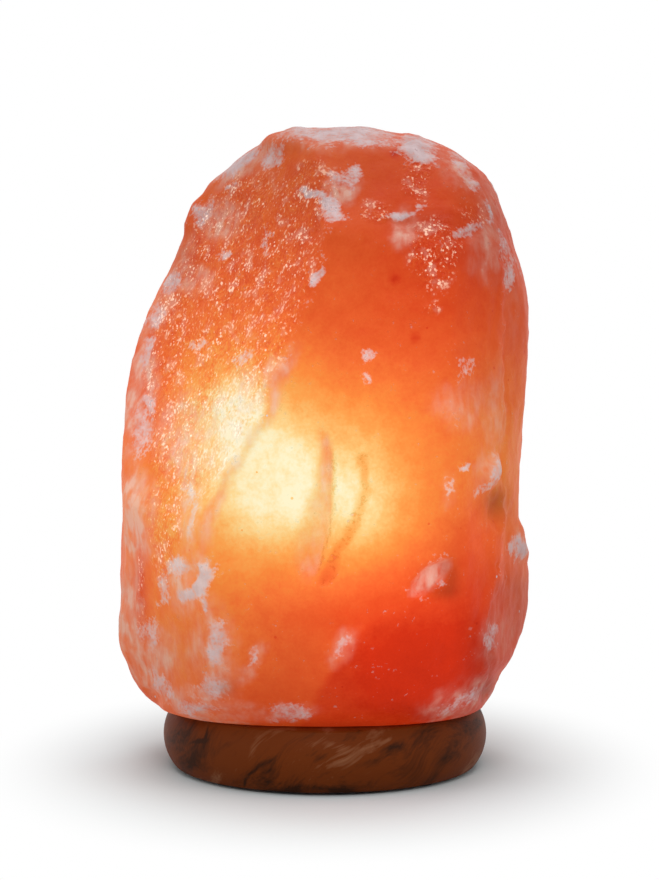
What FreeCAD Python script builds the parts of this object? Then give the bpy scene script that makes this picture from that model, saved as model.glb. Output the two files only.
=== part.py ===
"""Salt crystal lamp: a hewn block of rock salt on a turned wooden base, lit from inside by a small bulb.

Millimetres, +Z up. The origin is the centre of the base on the plane that the feet stand on, and the
crystal's broad front face looks towards -Y.
"""
import FreeCAD, Part
import math
import os

import Sketcher
from FreeCAD import Placement, Rotation, Vector

UP = Vector(0, 0, 1)

# ---------------------------------------------------------------- driving dimensions

SIZES = {
    # the block of salt, over everything
    "crystal_width": 152.4,
    "crystal_depth": 132.0,
    "crystal_height": 213.5,
    "bore_diameter": 44.0,
    "bore_depth": 110.0,
    "bore_tip_height": 7.0,
    # turned base
    "base_diameter": 120.4,
    "base_thickness": 22.5,
    "base_bulge": 4.2,
    "base_edge_radius": 1.2,
    "base_hole_diameter": 45.0,
    "cord_groove_width": 9.0,
    "cord_groove_depth": 9.0,
    "cord_groove_corner": 2.5,
    # rubber feet, let into the underside
    "foot_count": 4,
    "foot_circle": 96.0,
    "foot_diameter": 12.0,
    "foot_recess": 1.0,
    "foot_stand": 1.0,
    "foot_chamfer": 0.6,
    "foot_clearance": 0.1,
    # screws that hold the base to plugs set in the crystal
    "screw_count": 3,
    "screw_circle": 75.0,
    "screw_diameter": 4.0,
    "screw_length": 36.0,
    "screw_tip_length": 4.0,
    "screw_head_diameter": 8.0,
    "screw_head_height": 2.6,
    "screw_head_chamfer": 0.8,
    "screw_seat_depth": 7.0,
    "screw_clearance": 0.3,
    "screw_recess_span": 4.4,
    "screw_recess_width": 1.0,
    "screw_recess_depth": 1.6,
    "plug_diameter": 8.0,
    "plug_length": 28.0,
    "plug_clearance": 0.05,
    # lampholder, measured up from the end of its threaded nipple
    "holder_lift": 19.0,
    "holder_diameter": 27.0,
    "holder_wall": 1.8,
    "holder_clearance": 0.1,
    "nipple_head_diameter": 14.0,
    "nipple_head_height": 6.0,
    "nipple_diameter": 10.0,
    "nipple_shank_length": 9.0,
    "nipple_bore": 7.0,
    "nipple_clearance": 0.1,
    "lock_nut_flats": 14.0,
    "lock_nut_height": 3.5,
    "grip_screw_diameter": 4.0,
    "grip_screw_length": 4.0,
    "grip_screw_inset": 0.2,
    "slot_width": 0.8,
    "slot_depth": 0.8,
    "cap_height": 15.0,
    "cap_floor": 2.5,
    "cap_chamfer": 1.5,
    "spigot_length": 3.0,
    "spigot_wall": 1.3,
    "spigot_root": 2.0,
    "skirt_height": 34.0,
    "skirt_lip_height": 1.5,
    "skirt_mouth_diameter": 18.8,
    "ledge_height": 1.5,
    "ledge_reach": 1.6,
    "core_flange": 3.0,
    "core_block_diameter": 19.6,
    "core_rise": 6.0,
    "core_rim_height": 1.5,
    "core_well_diameter": 10.8,
    "terminal_spacing": 12.0,
    "terminal_length": 5.0,
    "terminal_width": 6.0,
    "terminal_height": 8.0,
    "terminal_seat": 2.5,
    "terminal_clearance": 0.05,
    "wire_hole_diameter": 2.4,
    "wire_hole_setback": 0.6,
    "terminal_screw_diameter": 2.6,
    "terminal_screw_length": 3.6,
    "terminal_screw_head_diameter": 4.4,
    "terminal_screw_head_height": 1.6,
    "rivet_diameter": 0.9,
    "rivet_head_diameter": 1.6,
    "rivet_head_height": 0.5,
    "rivet_clearance": 0.05,
    "tongue_width": 3.6,
    "tongue_thickness": 0.4,
    "tongue_rise": 3.0,
    "shell_height": 18.0,
    "shell_wall": 0.5,
    "shell_rim": 0.5,
    # screw thread of the bulb and its shell, 9 turns to the inch
    "thread_pitch": 2.822,
    "thread_root_radius": 6.15,
    "thread_depth": 0.8,
    "thread_root_width": 1.5,
    "thread_crest_width": 0.7,
    "thread_clearance": 0.2,
    "thread_turns": 4,
    # spring clip round the lampholder
    "clip_thickness": 0.5,
    "clip_clearance": 0.05,
    "clip_band_height": 6.0,
    "clip_band_lift": 4.0,
    "clip_leaf_count": 3,
    "clip_leaf_width": 7.0,
    "clip_leaf_length": 26.0,
    "bore_clearance": 0.3,
    # bulb
    "contact_gap": 0.3,
    "bulb_length": 64.7,
    "bulb_diameter": 27.6,
    "bulb_wall": 0.7,
    "bulb_shoulder_height": 17.0,
    "bulb_shoulder_radius": 17.0,
    "neck_diameter": 11.2,
    "neck_length": 8.5,
    "tip_diameter": 5.2,
    "tip_height": 1.0,
    "tip_stub_diameter": 2.3,
    "insulator_height": 1.7,
    "insulator_plug_length": 3.0,
    "insulator_clearance": 0.05,
    "bulb_cap_wall": 0.3,
    "bulb_cap_height": 16.5,
    "stem_foot_radius": 4.5,
    "stem_radius": 2.7,
    "stem_wall": 0.8,
    "stem_height": 22.0,
    "stem_press_height": 8.0,
    "lead_diameter": 0.6,
    "lead_spacing": 3.0,
    "lead_spread": 12.0,
    "lead_bend_height": 2.0,
    "lead_post_height": 3.0,
    "light_centre": 45.0,
    "filament_diameter": 0.7,
    "filament_gap": 0.05,
}

doc = FreeCAD.newDocument("salt_crystal_lamp")
sheet = doc.addObject("Spreadsheet::Sheet", "Sizes")
for row, (alias, number) in enumerate(SIZES.items(), start=1):
    sheet.set(f"A{row}", alias)
    sheet.set(f"B{row}", str(number))
    sheet.setAlias(f"B{row}", alias)
doc.recompute()


def size(expression):
    """The number that an expression on the sheet's cells gives."""
    return float(sheet.evalExpression(expression))


# ---------------------------------------------------------------- levels, from the table upwards

BASE_BOTTOM = "Sizes.foot_stand"
BASE_TOP = f"({BASE_BOTTOM} + Sizes.base_thickness)"
BORE_END = f"({BASE_TOP} + Sizes.bore_depth)"
SCREW_SEAT = f"({BASE_BOTTOM} + Sizes.screw_seat_depth)"
NIPPLE_END = "Sizes.holder_lift"
CAP_BOTTOM = f"({NIPPLE_END} + Sizes.nipple_head_height)"
CAP_FLOOR = f"({CAP_BOTTOM} + Sizes.cap_floor)"
CAP_RIM = f"({CAP_BOTTOM} + Sizes.cap_height)"
SPIGOT_TOP = f"({CAP_RIM} + Sizes.spigot_length)"
FLANGE_TOP = f"({SPIGOT_TOP} + Sizes.core_flange)"
LEDGE_TOP = f"({FLANGE_TOP} + Sizes.ledge_height)"
CORE_WELL = f"({FLANGE_TOP} + Sizes.core_rise)"
CORE_TOP = f"({CORE_WELL} + Sizes.core_rim_height)"
SKIRT_TOP = f"({CAP_RIM} + Sizes.skirt_height)"
SHELL_TOP = f"({CORE_TOP} + Sizes.shell_height)"
TERMINAL_TOP = f"({SPIGOT_TOP} + Sizes.terminal_seat)"
TERMINAL_BOTTOM = f"({TERMINAL_TOP} - Sizes.terminal_height)"
TONGUE_TOP = f"({CORE_WELL} + Sizes.tongue_rise)"
TIP_BOTTOM = f"({TONGUE_TOP} + Sizes.contact_gap)"
INSULATOR_BOTTOM = f"({TIP_BOTTOM} + Sizes.tip_height)"
BULB_CAP_BOTTOM = f"({INSULATOR_BOTTOM} + Sizes.insulator_height)"
BULB_CAP_TOP = f"({BULB_CAP_BOTTOM} + Sizes.bulb_cap_height)"
INSULATOR_TOP = f"({BULB_CAP_BOTTOM} + Sizes.insulator_plug_length)"
BULB_TOP = f"({TIP_BOTTOM} + Sizes.bulb_length)"
FILAMENT_LEVEL = f"({TIP_BOTTOM} + Sizes.light_centre)"

# radii that several pieces share
HOLDER_OUTER = "(Sizes.holder_diameter / 2)"
HOLDER_INNER = f"({HOLDER_OUTER} - Sizes.holder_wall)"
SHELL_INNER = "(Sizes.thread_root_radius + Sizes.thread_depth + Sizes.thread_clearance)"
SHELL_OUTER = f"({SHELL_INNER} + Sizes.shell_wall)"
BULB_CAP_INNER = "(Sizes.thread_root_radius - Sizes.bulb_cap_wall)"
WELL_RADIUS = "(Sizes.core_well_diameter / 2)"
TERMINAL_REACH = "(Sizes.terminal_spacing / 2)"

# degrees from +X to the first screw and the first foot, so that none crosses the cord's groove at the rear
SCREW_TURN = 30.0
FOOT_TURN = 45.0


# ---------------------------------------------------------------- ways of making a piece

def origin_feature(body, role):
    """One of a body's own planes or axes."""
    return next(feature for feature in body.Origin.OriginFeatures if feature.Role == role)


def new_body(label):
    body = doc.addObject("PartDesign::Body", label)
    body.Label = label
    return body


def new_sketch(body, name, role, shift="0", lift="0", turn=0.0):
    """A sketch on one of the body's planes, moved along it and off it, and turned in it."""
    sketch = body.newObject("Sketcher::SketchObject", name)
    sketch.AttachmentSupport = (origin_feature(body, role), [""])
    sketch.MapMode = "FlatFace"
    sketch.AttachmentOffset = Placement(Vector(), Rotation(UP, turn))
    sketch.setExpression("AttachmentOffset.Base.x", shift)
    sketch.setExpression("AttachmentOffset.Base.z", lift)
    return sketch


def arc_between(start, end, radius, bulge="right"):
    """The short arc that bulges to the right, or the left, of the way from start to end.

    A sketch keeps its arcs anticlockwise, so an arc that bulges to the left is given from end to start.
    """
    chord = end - start
    reach = math.sqrt(max(radius**2 - (chord.Length / 2) ** 2, 0.0))
    side = Vector(chord.y, -chord.x, 0).normalize()
    if bulge == "left":
        middle = (start + end) / 2 + side * (reach - radius)
        return Part.Arc(end, middle, start)
    middle = (start + end) / 2 + side * (radius - reach)
    return Part.Arc(start, middle, end)


def outline(sketch, corners):
    """A closed outline of corners (across, up). An arc leads on from (across, up, radius), bulging to the
    right of the way there, or to the left if the corner ends with "left"."""
    spots = [Vector(size(corner[0]), size(corner[1]), 0) for corner in corners]
    for index, corner in enumerate(corners):
        start, end = spots[index], spots[(index + 1) % len(spots)]
        if len(corner) == 2:
            sketch.addGeometry(Part.LineSegment(start, end))
        else:
            sketch.addGeometry(arc_between(start, end, size(corner[2]), *corner[3:]))
    ends = [edge_ends(sketch.Geometry[index], spot) for index, spot in enumerate(spots)]
    for index in range(len(corners)):
        after = (index + 1) % len(corners)
        joint = Sketcher.Constraint("Coincident", index, ends[index][1], after, ends[after][0])
        sketch.addConstraint(joint)
    for index, corner in enumerate(corners):
        place_corner(sketch, index, ends[index][0], corner)
    return sketch


def edge_ends(edge, start):
    """The sketch's numbers for an edge's two ends, with the end at the outline's corner first."""
    return (1, 2) if (edge.StartPoint - start).Length < 1e-6 else (2, 1)


def place_corner(sketch, index, end, corner):
    """Ties a corner's two coordinates, and the radius of an arc that leads on from it, to the sheet."""
    for kind, expression, axis in (("DistanceX", corner[0], -2), ("DistanceY", corner[1], -1)):
        if expression == "0":
            sketch.addConstraint(Sketcher.Constraint("PointOnObject", index, end, axis))
        else:
            constraint = Sketcher.Constraint(kind, -1, 1, index, end, size(expression))
            number = sketch.addConstraint(constraint)
            sketch.setExpression(f"Constraints[{number}]", expression)
    if len(corner) > 2:
        number = sketch.addConstraint(Sketcher.Constraint("Radius", index, size(corner[2])))
        sketch.setExpression(f"Constraints[{number}]", corner[2])


def circle(sketch, across, radius):
    """A circle on the sketch's X axis."""
    centre = Vector(size(across), 0, 0)
    sketch.addGeometry(Part.Circle(centre, Vector(0, 0, 1), size(radius)))
    if across == "0":
        sketch.addConstraint(Sketcher.Constraint("Coincident", 0, 3, -1, 1))
    else:
        sketch.addConstraint(Sketcher.Constraint("PointOnObject", 0, 3, -1))
        number = sketch.addConstraint(Sketcher.Constraint("DistanceX", -1, 1, 0, 3, centre.x))
        sketch.setExpression(f"Constraints[{number}]", across)
    number = sketch.addConstraint(Sketcher.Constraint("Radius", 0, size(radius)))
    sketch.setExpression(f"Constraints[{number}]", radius)
    return sketch


def revolve(body, name, corners, shift="0"):
    """Turns an outline about its own upright axis, which stands off the body's by the shift."""
    sketch = outline(new_sketch(body, f"{name}_outline", "XZ_Plane", shift=shift), corners)
    turning = body.newObject("PartDesign::Revolution", name)
    turning.Profile = sketch
    turning.ReferenceAxis = (sketch, ["V_Axis"])
    turning.Angle = 360.0
    return turning


def pad(body, name, sketch, length):
    """Material added evenly on both sides of the sketch."""
    feature = body.newObject("PartDesign::Pad", name)
    feature.Profile = sketch
    feature.SideType = "Symmetric"
    feature.setExpression("Length", length)
    return feature


def pocket(body, name, sketch, length, reverse=False):
    """Material taken away against the sketch's normal, or along it if reversed."""
    feature = body.newObject("PartDesign::Pocket", name)
    feature.Profile = sketch
    feature.Reversed = reverse
    feature.setExpression("Length", length)
    return feature


def polar_pattern(body, name, features, count):
    pattern = body.newObject("PartDesign::PolarPattern", name)
    pattern.Originals = features
    pattern.Axis = (origin_feature(body, "Z_Axis"), [""])
    pattern.Angle = 360.0
    pattern.setExpression("Occurrences", count)
    body.Tip = pattern
    return pattern


def turned(label, corners):
    """A piece that is one outline turned about the lamp's axis."""
    body = new_body(label)
    revolve(body, f"{label}_turning", corners)
    return body


def primitive(kind, name, at=("0", "0", "0"), rotation=None, **lengths):
    """A Part primitive whose lengths and place are expressions."""
    thing = doc.addObject(f"Part::{kind}", name)
    if rotation is not None:
        thing.Placement = Placement(Vector(), rotation)
    for name_of_length, expression in lengths.items():
        thing.setExpression(name_of_length, expression)
    for axis, expression in zip("xyz", at):
        thing.setExpression(f"Placement.Base.{axis}", expression)
    return thing


def fuse(name, *things):
    fusion = doc.addObject("Part::MultiFuse", name)
    fusion.Shapes = list(things)
    return fusion


def cut(name, base, tool):
    difference = doc.addObject("Part::Cut", name)
    difference.Base = base
    difference.Tool = tool
    difference.Label = name
    return difference


def group(label, things):
    """Like pieces that share one node, each a solid of its own."""
    compound = doc.addObject("Part::Compound", label)
    compound.Links = list(things)
    compound.Label = label
    return compound


def shaped(label, shape):
    feature = doc.addObject("Part::Feature", label)
    feature.Label = label
    feature.Shape = shape
    return feature


# ---------------------------------------------------------------- salt crystal

# Stations up the block: share of the height, then reach to the left, right, front and back, as shares of
# half the block's width or depth.
CRYSTAL_STATIONS = (
    (0.000, 0.787, 0.761, 0.720, 0.727),
    (0.045, 0.925, 0.855, 0.870, 0.890),
    (0.115, 0.993, 0.938, 0.965, 0.985),
    (0.200, 1.000, 1.000, 1.020, 1.045),
    (0.320, 0.985, 0.945, 1.060, 1.050),
    (0.460, 0.978, 0.950, 1.055, 1.030),
    (0.590, 0.945, 0.974, 1.025, 1.000),
    (0.720, 0.805, 0.966, 0.945, 0.930),
    (0.825, 0.680, 0.880, 0.815, 0.810),
    (0.900, 0.585, 0.805, 0.660, 0.670),
    (0.958, 0.410, 0.640, 0.440, 0.460),
    (1.000, 0.115, 0.180, 0.130, 0.140),
)
CRYSTAL_SQUARENESS = 2.5  # 2 is an ellipse, more is boxier
POINTS_ROUND_CRYSTAL = 20

# Faces that hewing left on the block, each through three spots given as shares of half the width, half the
# depth and the height.
RIDGE_TOP = (0.03, -0.76, 0.84)
RIDGE_ELBOW = (-0.54, -0.94, 0.37)
RIGHT_RIDGE = (0.81, -0.67, 0.39)
HEWN_FACES = {
    "front": (RIDGE_TOP, RIDGE_ELBOW, (0.79, -0.92, 0.38)),
    "left_shoulder": (RIDGE_TOP, RIDGE_ELBOW, (-0.945, -0.30, 0.405)),
    "left_foot": ((-0.59, -0.93, 0.32), (-0.55, -0.85, 0.08), (-0.98, -0.21, 0.20)),
    "front_right": ((0.60, -0.93, 0.39), RIGHT_RIDGE, (0.76, -0.58, 0.78)),
    "right": (RIGHT_RIDGE, (0.84, -0.65, 0.64), (0.97, -0.15, 0.52)),
    "right_foot": ((0.68, -0.85, 0.18), (0.79, -0.67, 0.06), (0.985, -0.30, 0.16)),
    "crown_front": ((0.00, -0.73, 0.85), (0.52, -0.67, 0.845), (0.16, -0.33, 0.977)),
    "crown_left": ((-0.59, -0.15, 0.89), (-0.59, 0.33, 0.892), (-0.33, 0.08, 0.97)),
    "crown_right": ((0.57, -0.12, 0.972), (0.57, 0.23, 0.975), (0.80, 0.00, 0.914)),
    "crown_back": ((-0.13, 0.67, 0.873), (0.46, 0.64, 0.883), (0.13, 0.30, 0.977)),
    "back": ((-0.46, 0.93, 0.59), (0.52, 0.92, 0.59), (0.00, 0.995, 0.17)),
    "back_left": ((-0.52, 0.90, 0.405), (-0.945, 0.23, 0.405), (-0.66, 0.47, 0.78)),
    "back_right": ((0.50, 0.92, 0.36), (0.93, 0.21, 0.36), (0.68, 0.54, 0.73)),
    "back_foot": ((-0.26, 0.95, 0.17), (0.39, 0.93, 0.148), (0.07, 0.76, 0.02)),
}


def crystal_spot(across, along, up):
    """A spot on the block from its shares."""
    return Vector(
        across * size("Sizes.crystal_width / 2"),
        along * size("Sizes.crystal_depth / 2"),
        size(BASE_TOP) + up * size("Sizes.crystal_height"),
    )


def crystal_section(up, left, right, front, back):
    """A closed curve round the block at one station."""
    spots = []
    for step in range(POINTS_ROUND_CRYSTAL):
        angle = 2 * math.pi * step / POINTS_ROUND_CRYSTAL
        east, north = math.cos(angle), math.sin(angle)
        across = math.copysign(abs(east) ** (2 / CRYSTAL_SQUARENESS), east)
        along = math.copysign(abs(north) ** (2 / CRYSTAL_SQUARENESS), north)
        across *= right if across > 0 else left
        along *= back if along > 0 else front
        spots.append(crystal_spot(across, along, up))
    curve = Part.BSplineCurve()
    curve.interpolate(Points=spots, PeriodicFlag=True)
    return Part.Wire([curve.toShape()])


def beyond_face(spots):
    """A block of space on the outer side of the plane through three spots."""
    first, second, third = (crystal_spot(*spot) for spot in spots)
    outward = (second - first).cross(third - first).normalize()
    middle = crystal_spot(0, 0, 0.45)
    if outward.dot(first - middle) < 0:
        outward = -outward
    reach = 2 * size("Sizes.crystal_height")
    space = Part.makeBox(reach, reach, reach, Vector(-reach / 2, -reach / 2, 0))
    space.Placement = Placement((first + second + third) / 3, Rotation(UP, outward))
    return space


def hewn_block():
    block = Part.makeLoft([crystal_section(*station) for station in CRYSTAL_STATIONS], True, False)
    for spots in HEWN_FACES.values():
        block = block.cut(beyond_face(spots))
    return block


def salt_crystal():
    """The hewn block, bored from below for the lampholder and drilled for the three plugs."""
    block = shaped("hewn_block", hewn_block())
    bore_radius = "Sizes.bore_diameter / 2"
    drills = [
        primitive("Cylinder", "bore", ("0", "0", BASE_TOP), Radius=bore_radius, Height="Sizes.bore_depth"),
        primitive("Cone", "bore_tip", ("0", "0", BORE_END), Radius1=bore_radius,
                  Radius2=f"{bore_radius} / 3", Height="Sizes.bore_tip_height"),
    ]
    for number in range(round(size("Sizes.screw_count"))):
        direction = f"({SCREW_TURN} + 360 / Sizes.screw_count * {number})"
        reach = "Sizes.screw_circle / 2"
        place = (f"{reach} * cos({direction} * 1 deg)", f"{reach} * sin({direction} * 1 deg)", BASE_TOP)
        radius = "Sizes.plug_diameter / 2 + Sizes.plug_clearance"
        depth = "Sizes.plug_length + Sizes.plug_clearance"
        drills.append(primitive("Cylinder", f"plug_hole_{number + 1}", place, Radius=radius, Height=depth))
    return cut("salt_crystal", block, fuse("crystal_drills", *drills))


def screw_anchors():
    """Nylon plugs, set in the crystal's underside."""
    body = new_body("screw_anchors")
    bore = "Sizes.screw_diameter / 2 + Sizes.plug_clearance"
    outer = "Sizes.plug_diameter / 2"
    end = f"{BASE_TOP} + Sizes.plug_length"
    corners = [(bore, BASE_TOP), (outer, BASE_TOP), (outer, end), (bore, end)]
    plug = revolve(body, "plug", corners, shift="Sizes.screw_circle / 2")
    polar_pattern(body, "plugs", [plug], "Sizes.screw_count")
    body.Placement = Placement(Vector(), Rotation(UP, SCREW_TURN))
    return body


# ---------------------------------------------------------------- base, its screws and its feet

def wooden_base():
    """A disc turned with a bulged side, with a centre hole, seats for screws and feet, and a cord groove."""
    body = new_body("wooden_base")
    hole = "Sizes.base_hole_diameter / 2"
    rim = "Sizes.base_diameter / 2 - Sizes.base_bulge"
    side = "((Sizes.base_thickness / 2)^2 + Sizes.base_bulge^2) / (2 * Sizes.base_bulge)"
    corners = [(hole, BASE_BOTTOM), (rim, BASE_BOTTOM, side), (rim, BASE_TOP), (hole, BASE_TOP)]
    turning = revolve(body, "base_turning", corners)
    doc.recompute()
    edge_names = [
        f"Edge{number}"
        for number, edge in enumerate(turning.Shape.Edges, start=1)
        if isinstance(edge.Curve, Part.Circle) and abs(edge.Curve.Radius - size(rim)) < 1e-3
    ]
    rounding = body.newObject("PartDesign::Fillet", "base_edges")
    rounding.Base = (turning, edge_names)
    rounding.setExpression("Radius", "Sizes.base_edge_radius")

    reach = "Sizes.screw_circle / 2"
    shank = new_sketch(body, "screw_hole_sketch", "XY_Plane", lift=BASE_TOP, turn=SCREW_TURN)
    circle(shank, reach, "Sizes.screw_diameter / 2 + Sizes.screw_clearance")
    shank_hole = pocket(body, "screw_hole", shank, "Sizes.base_thickness")
    seat = new_sketch(body, "screw_seat_sketch", "XY_Plane", lift=SCREW_SEAT, turn=SCREW_TURN)
    circle(seat, reach, "Sizes.screw_head_diameter / 2 + 2 * Sizes.screw_clearance")
    seat_hole = pocket(body, "screw_seat", seat, "Sizes.screw_seat_depth")
    polar_pattern(body, "screw_holes", [shank_hole, seat_hole], "Sizes.screw_count")

    recess_top = f"{BASE_BOTTOM} + Sizes.foot_recess"
    recess = new_sketch(body, "foot_recess_sketch", "XY_Plane", lift=recess_top, turn=FOOT_TURN)
    circle(recess, "Sizes.foot_circle / 2", "Sizes.foot_diameter / 2 + Sizes.foot_clearance")
    foot_recess = pocket(body, "foot_recess", recess, "Sizes.foot_recess")
    polar_pattern(body, "foot_recesses", [foot_recess], "Sizes.foot_count")

    half = "Sizes.cord_groove_width / 2"
    corner = "Sizes.cord_groove_corner"
    top = f"{BASE_BOTTOM} + Sizes.cord_groove_depth"
    arch = [
        (f"-({half})", "0"), (half, "0"), (half, f"{top} - {corner}"), (f"{half} - {corner}", top),
        (f"{corner} - {half}", top), (f"-({half})", f"{top} - {corner}"),
    ]
    groove = outline(new_sketch(body, "cord_groove_sketch", "XZ_Plane"), arch)
    pocket(body, "cord_groove", groove, "Sizes.base_diameter / 2")
    return body


def base_screws():
    """Pan-head screws with a cross recess, up through the base into the plugs."""
    body = new_body("base_screws")
    reach = "Sizes.screw_circle / 2"
    shank = "Sizes.screw_diameter / 2"
    head = "Sizes.screw_head_diameter / 2"
    head_bottom = f"{SCREW_SEAT} - Sizes.screw_head_height"
    end = f"{SCREW_SEAT} + Sizes.screw_length"
    corners = [
        ("0", head_bottom), (f"{head} - Sizes.screw_head_chamfer", head_bottom),
        (head, f"{head_bottom} + Sizes.screw_head_chamfer"), (head, SCREW_SEAT), (shank, SCREW_SEAT),
        (shank, f"{end} - Sizes.screw_tip_length"), ("0", end),
    ]
    turning = revolve(body, "screw", corners, shift=reach)
    long_arm = "Sizes.screw_recess_span / 2"
    short_arm = "Sizes.screw_recess_width / 2"
    arms = [(long_arm, short_arm), (short_arm, short_arm), (short_arm, long_arm)]
    cross = [(across, along) for across, along in arms]
    cross += [(f"-({across})", along) for across, along in reversed(arms)]
    cross += [(f"-({across})", f"-({along})") for across, along in arms]
    cross += [(across, f"-({along})") for across, along in reversed(arms)]
    recess = new_sketch(body, "cross_recess_sketch", "XY_Plane", shift=reach, lift=head_bottom)
    cross_recess = pocket(body, "cross_recess", outline(recess, cross), "Sizes.screw_recess_depth", True)
    polar_pattern(body, "screws", [turning, cross_recess], "Sizes.screw_count")
    body.Placement = Placement(Vector(), Rotation(UP, SCREW_TURN))
    return body


def rubber_feet():
    body = new_body("rubber_feet")
    radius = "Sizes.foot_diameter / 2"
    top = f"{BASE_BOTTOM} + Sizes.foot_recess"
    corners = [
        ("0", "0"), (f"{radius} - Sizes.foot_chamfer", "0"), (radius, "Sizes.foot_chamfer"),
        (radius, top), ("0", top),
    ]
    foot = revolve(body, "foot", corners, shift="Sizes.foot_circle / 2")
    polar_pattern(body, "feet", [foot], "Sizes.foot_count")
    body.Placement = Placement(Vector(), Rotation(UP, FOOT_TURN))
    return body


# ---------------------------------------------------------------- cord inlet

NIPPLE_HOLE = "Sizes.nipple_bore / 2"
GRIP_SCREW_LEVEL = f"({NIPPLE_END} + Sizes.nipple_head_height / 2)"


def cord_nipple():
    """Hollow nipple that the cord comes in by, with a tapped hole in its head for the grip screw."""
    body = new_body("cord_nipple")
    head, shank = "Sizes.nipple_head_diameter / 2", "Sizes.nipple_diameter / 2"
    top = f"{CAP_BOTTOM} + Sizes.nipple_shank_length"
    corners = [
        (NIPPLE_HOLE, NIPPLE_END), (head, NIPPLE_END), (head, CAP_BOTTOM), (shank, CAP_BOTTOM),
        (shank, top), (NIPPLE_HOLE, top),
    ]
    revolve(body, "nipple_turning", corners)
    sketch = new_sketch(body, "grip_hole_sketch", "YZ_Plane")
    sketch.setExpression("AttachmentOffset.Base.y", GRIP_SCREW_LEVEL)
    circle(sketch, "0", "Sizes.grip_screw_diameter / 2 + Sizes.plug_clearance")
    pocket(body, "grip_hole", sketch, head, True)
    return body


def cord_grip_screw():
    """Slotted nylon screw across the nipple's head, its end just clear of the bore."""
    across = Rotation(Vector(0, 1, 0), 90)
    start = f"{NIPPLE_HOLE} + Sizes.grip_screw_inset"
    end = f"{start} + Sizes.grip_screw_length"
    radius = "Sizes.grip_screw_diameter / 2"
    shank = primitive("Cylinder", "grip_screw_shank", (start, "0", GRIP_SCREW_LEVEL), across,
                      Radius=radius, Height="Sizes.grip_screw_length")
    place = (f"{end} - Sizes.slot_depth", f"-({radius})", f"{GRIP_SCREW_LEVEL} - Sizes.slot_width / 2")
    slot = primitive("Box", "grip_screw_slot", place, Length="Sizes.slot_depth",
                     Width="Sizes.grip_screw_diameter", Height="Sizes.slot_width")
    return cut("cord_grip_screw", shank, slot)


def lock_nut():
    """Hexagon nut on the nipple, inside the cap."""
    hexagon = primitive("Prism", "nut_blank", ("0", "0", CAP_FLOOR), Height="Sizes.lock_nut_height",
                        Circumradius="Sizes.lock_nut_flats / 2 / cos(30 deg)")
    hole = primitive("Cylinder", "nut_hole", ("0", "0", CAP_FLOOR), Height="Sizes.lock_nut_height",
                     Radius="Sizes.nipple_diameter / 2 + Sizes.plug_clearance")
    return cut("lock_nut", hexagon, hole)


# ---------------------------------------------------------------- lampholder

def holder_cap():
    """Cup that closes the lampholder below, with the spigot that clamps the core."""
    hole = "Sizes.nipple_diameter / 2 + Sizes.nipple_clearance"
    spigot = f"{HOLDER_INNER} - Sizes.holder_clearance"
    spigot_inner = f"{HOLDER_INNER} - Sizes.spigot_wall"
    root = f"{CAP_RIM} - Sizes.spigot_root"
    return turned("holder_cap", [
        (hole, CAP_BOTTOM), (f"{HOLDER_OUTER} - Sizes.cap_chamfer", CAP_BOTTOM),
        (HOLDER_OUTER, f"{CAP_BOTTOM} + Sizes.cap_chamfer"), (HOLDER_OUTER, CAP_RIM), (spigot, CAP_RIM),
        (spigot, SPIGOT_TOP), (spigot_inner, SPIGOT_TOP), (spigot_inner, root),
        (HOLDER_INNER, f"{root} - Sizes.spigot_wall"), (HOLDER_INNER, CAP_FLOOR), (hole, CAP_FLOOR),
    ])


def holder_skirt():
    """Outer tube with a ledge inside for the core and a mouth for the bulb."""
    mouth = "Sizes.skirt_mouth_diameter / 2"
    ledge = f"{HOLDER_INNER} - Sizes.ledge_reach"
    lip = f"{SKIRT_TOP} - Sizes.skirt_lip_height"
    return turned("holder_skirt", [
        (HOLDER_INNER, CAP_RIM), (HOLDER_OUTER, CAP_RIM), (HOLDER_OUTER, SKIRT_TOP), (mouth, SKIRT_TOP),
        (mouth, lip), (HOLDER_INNER, lip), (HOLDER_INNER, LEDGE_TOP), (ledge, LEDGE_TOP),
        (ledge, FLANGE_TOP), (HOLDER_INNER, FLANGE_TOP),
    ])


# Where the rivets go through the core, across and along: the tongue's, and two on the shell's rim.
RIM_RIVET_REACH = f"(({WELL_RADIUS} + {SHELL_INNER}) / 2)"
TONGUE_RIVET_REACH = f"({WELL_RADIUS} - Sizes.rivet_head_diameter / 2 - Sizes.tongue_thickness)"
RIVETS = {
    "tongue_rivet": (f"-{TONGUE_RIVET_REACH}", "0", f"({CORE_WELL} + Sizes.tongue_thickness)"),
    "live_rim_rivet": (RIM_RIVET_REACH, "0", f"({CORE_TOP} + Sizes.shell_rim)"),
    "rear_rim_rivet": ("0", RIM_RIVET_REACH, f"({CORE_TOP} + Sizes.shell_rim)"),
}
TERMINAL_SIDES = {"left": "-", "right": ""}


def rivet_holes(prefix):
    """Drills for the rivets' shanks, from the terminals' top to above the shell's rim."""
    radius = "Sizes.rivet_diameter / 2 + Sizes.rivet_clearance"
    return [
        primitive("Cylinder", f"{prefix}_{name}_hole", (across, along, TERMINAL_TOP), Radius=radius,
                  Height=f"{TONGUE_TOP} - {TERMINAL_TOP}")
        for name, (across, along, _) in RIVETS.items()
    ]


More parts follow.
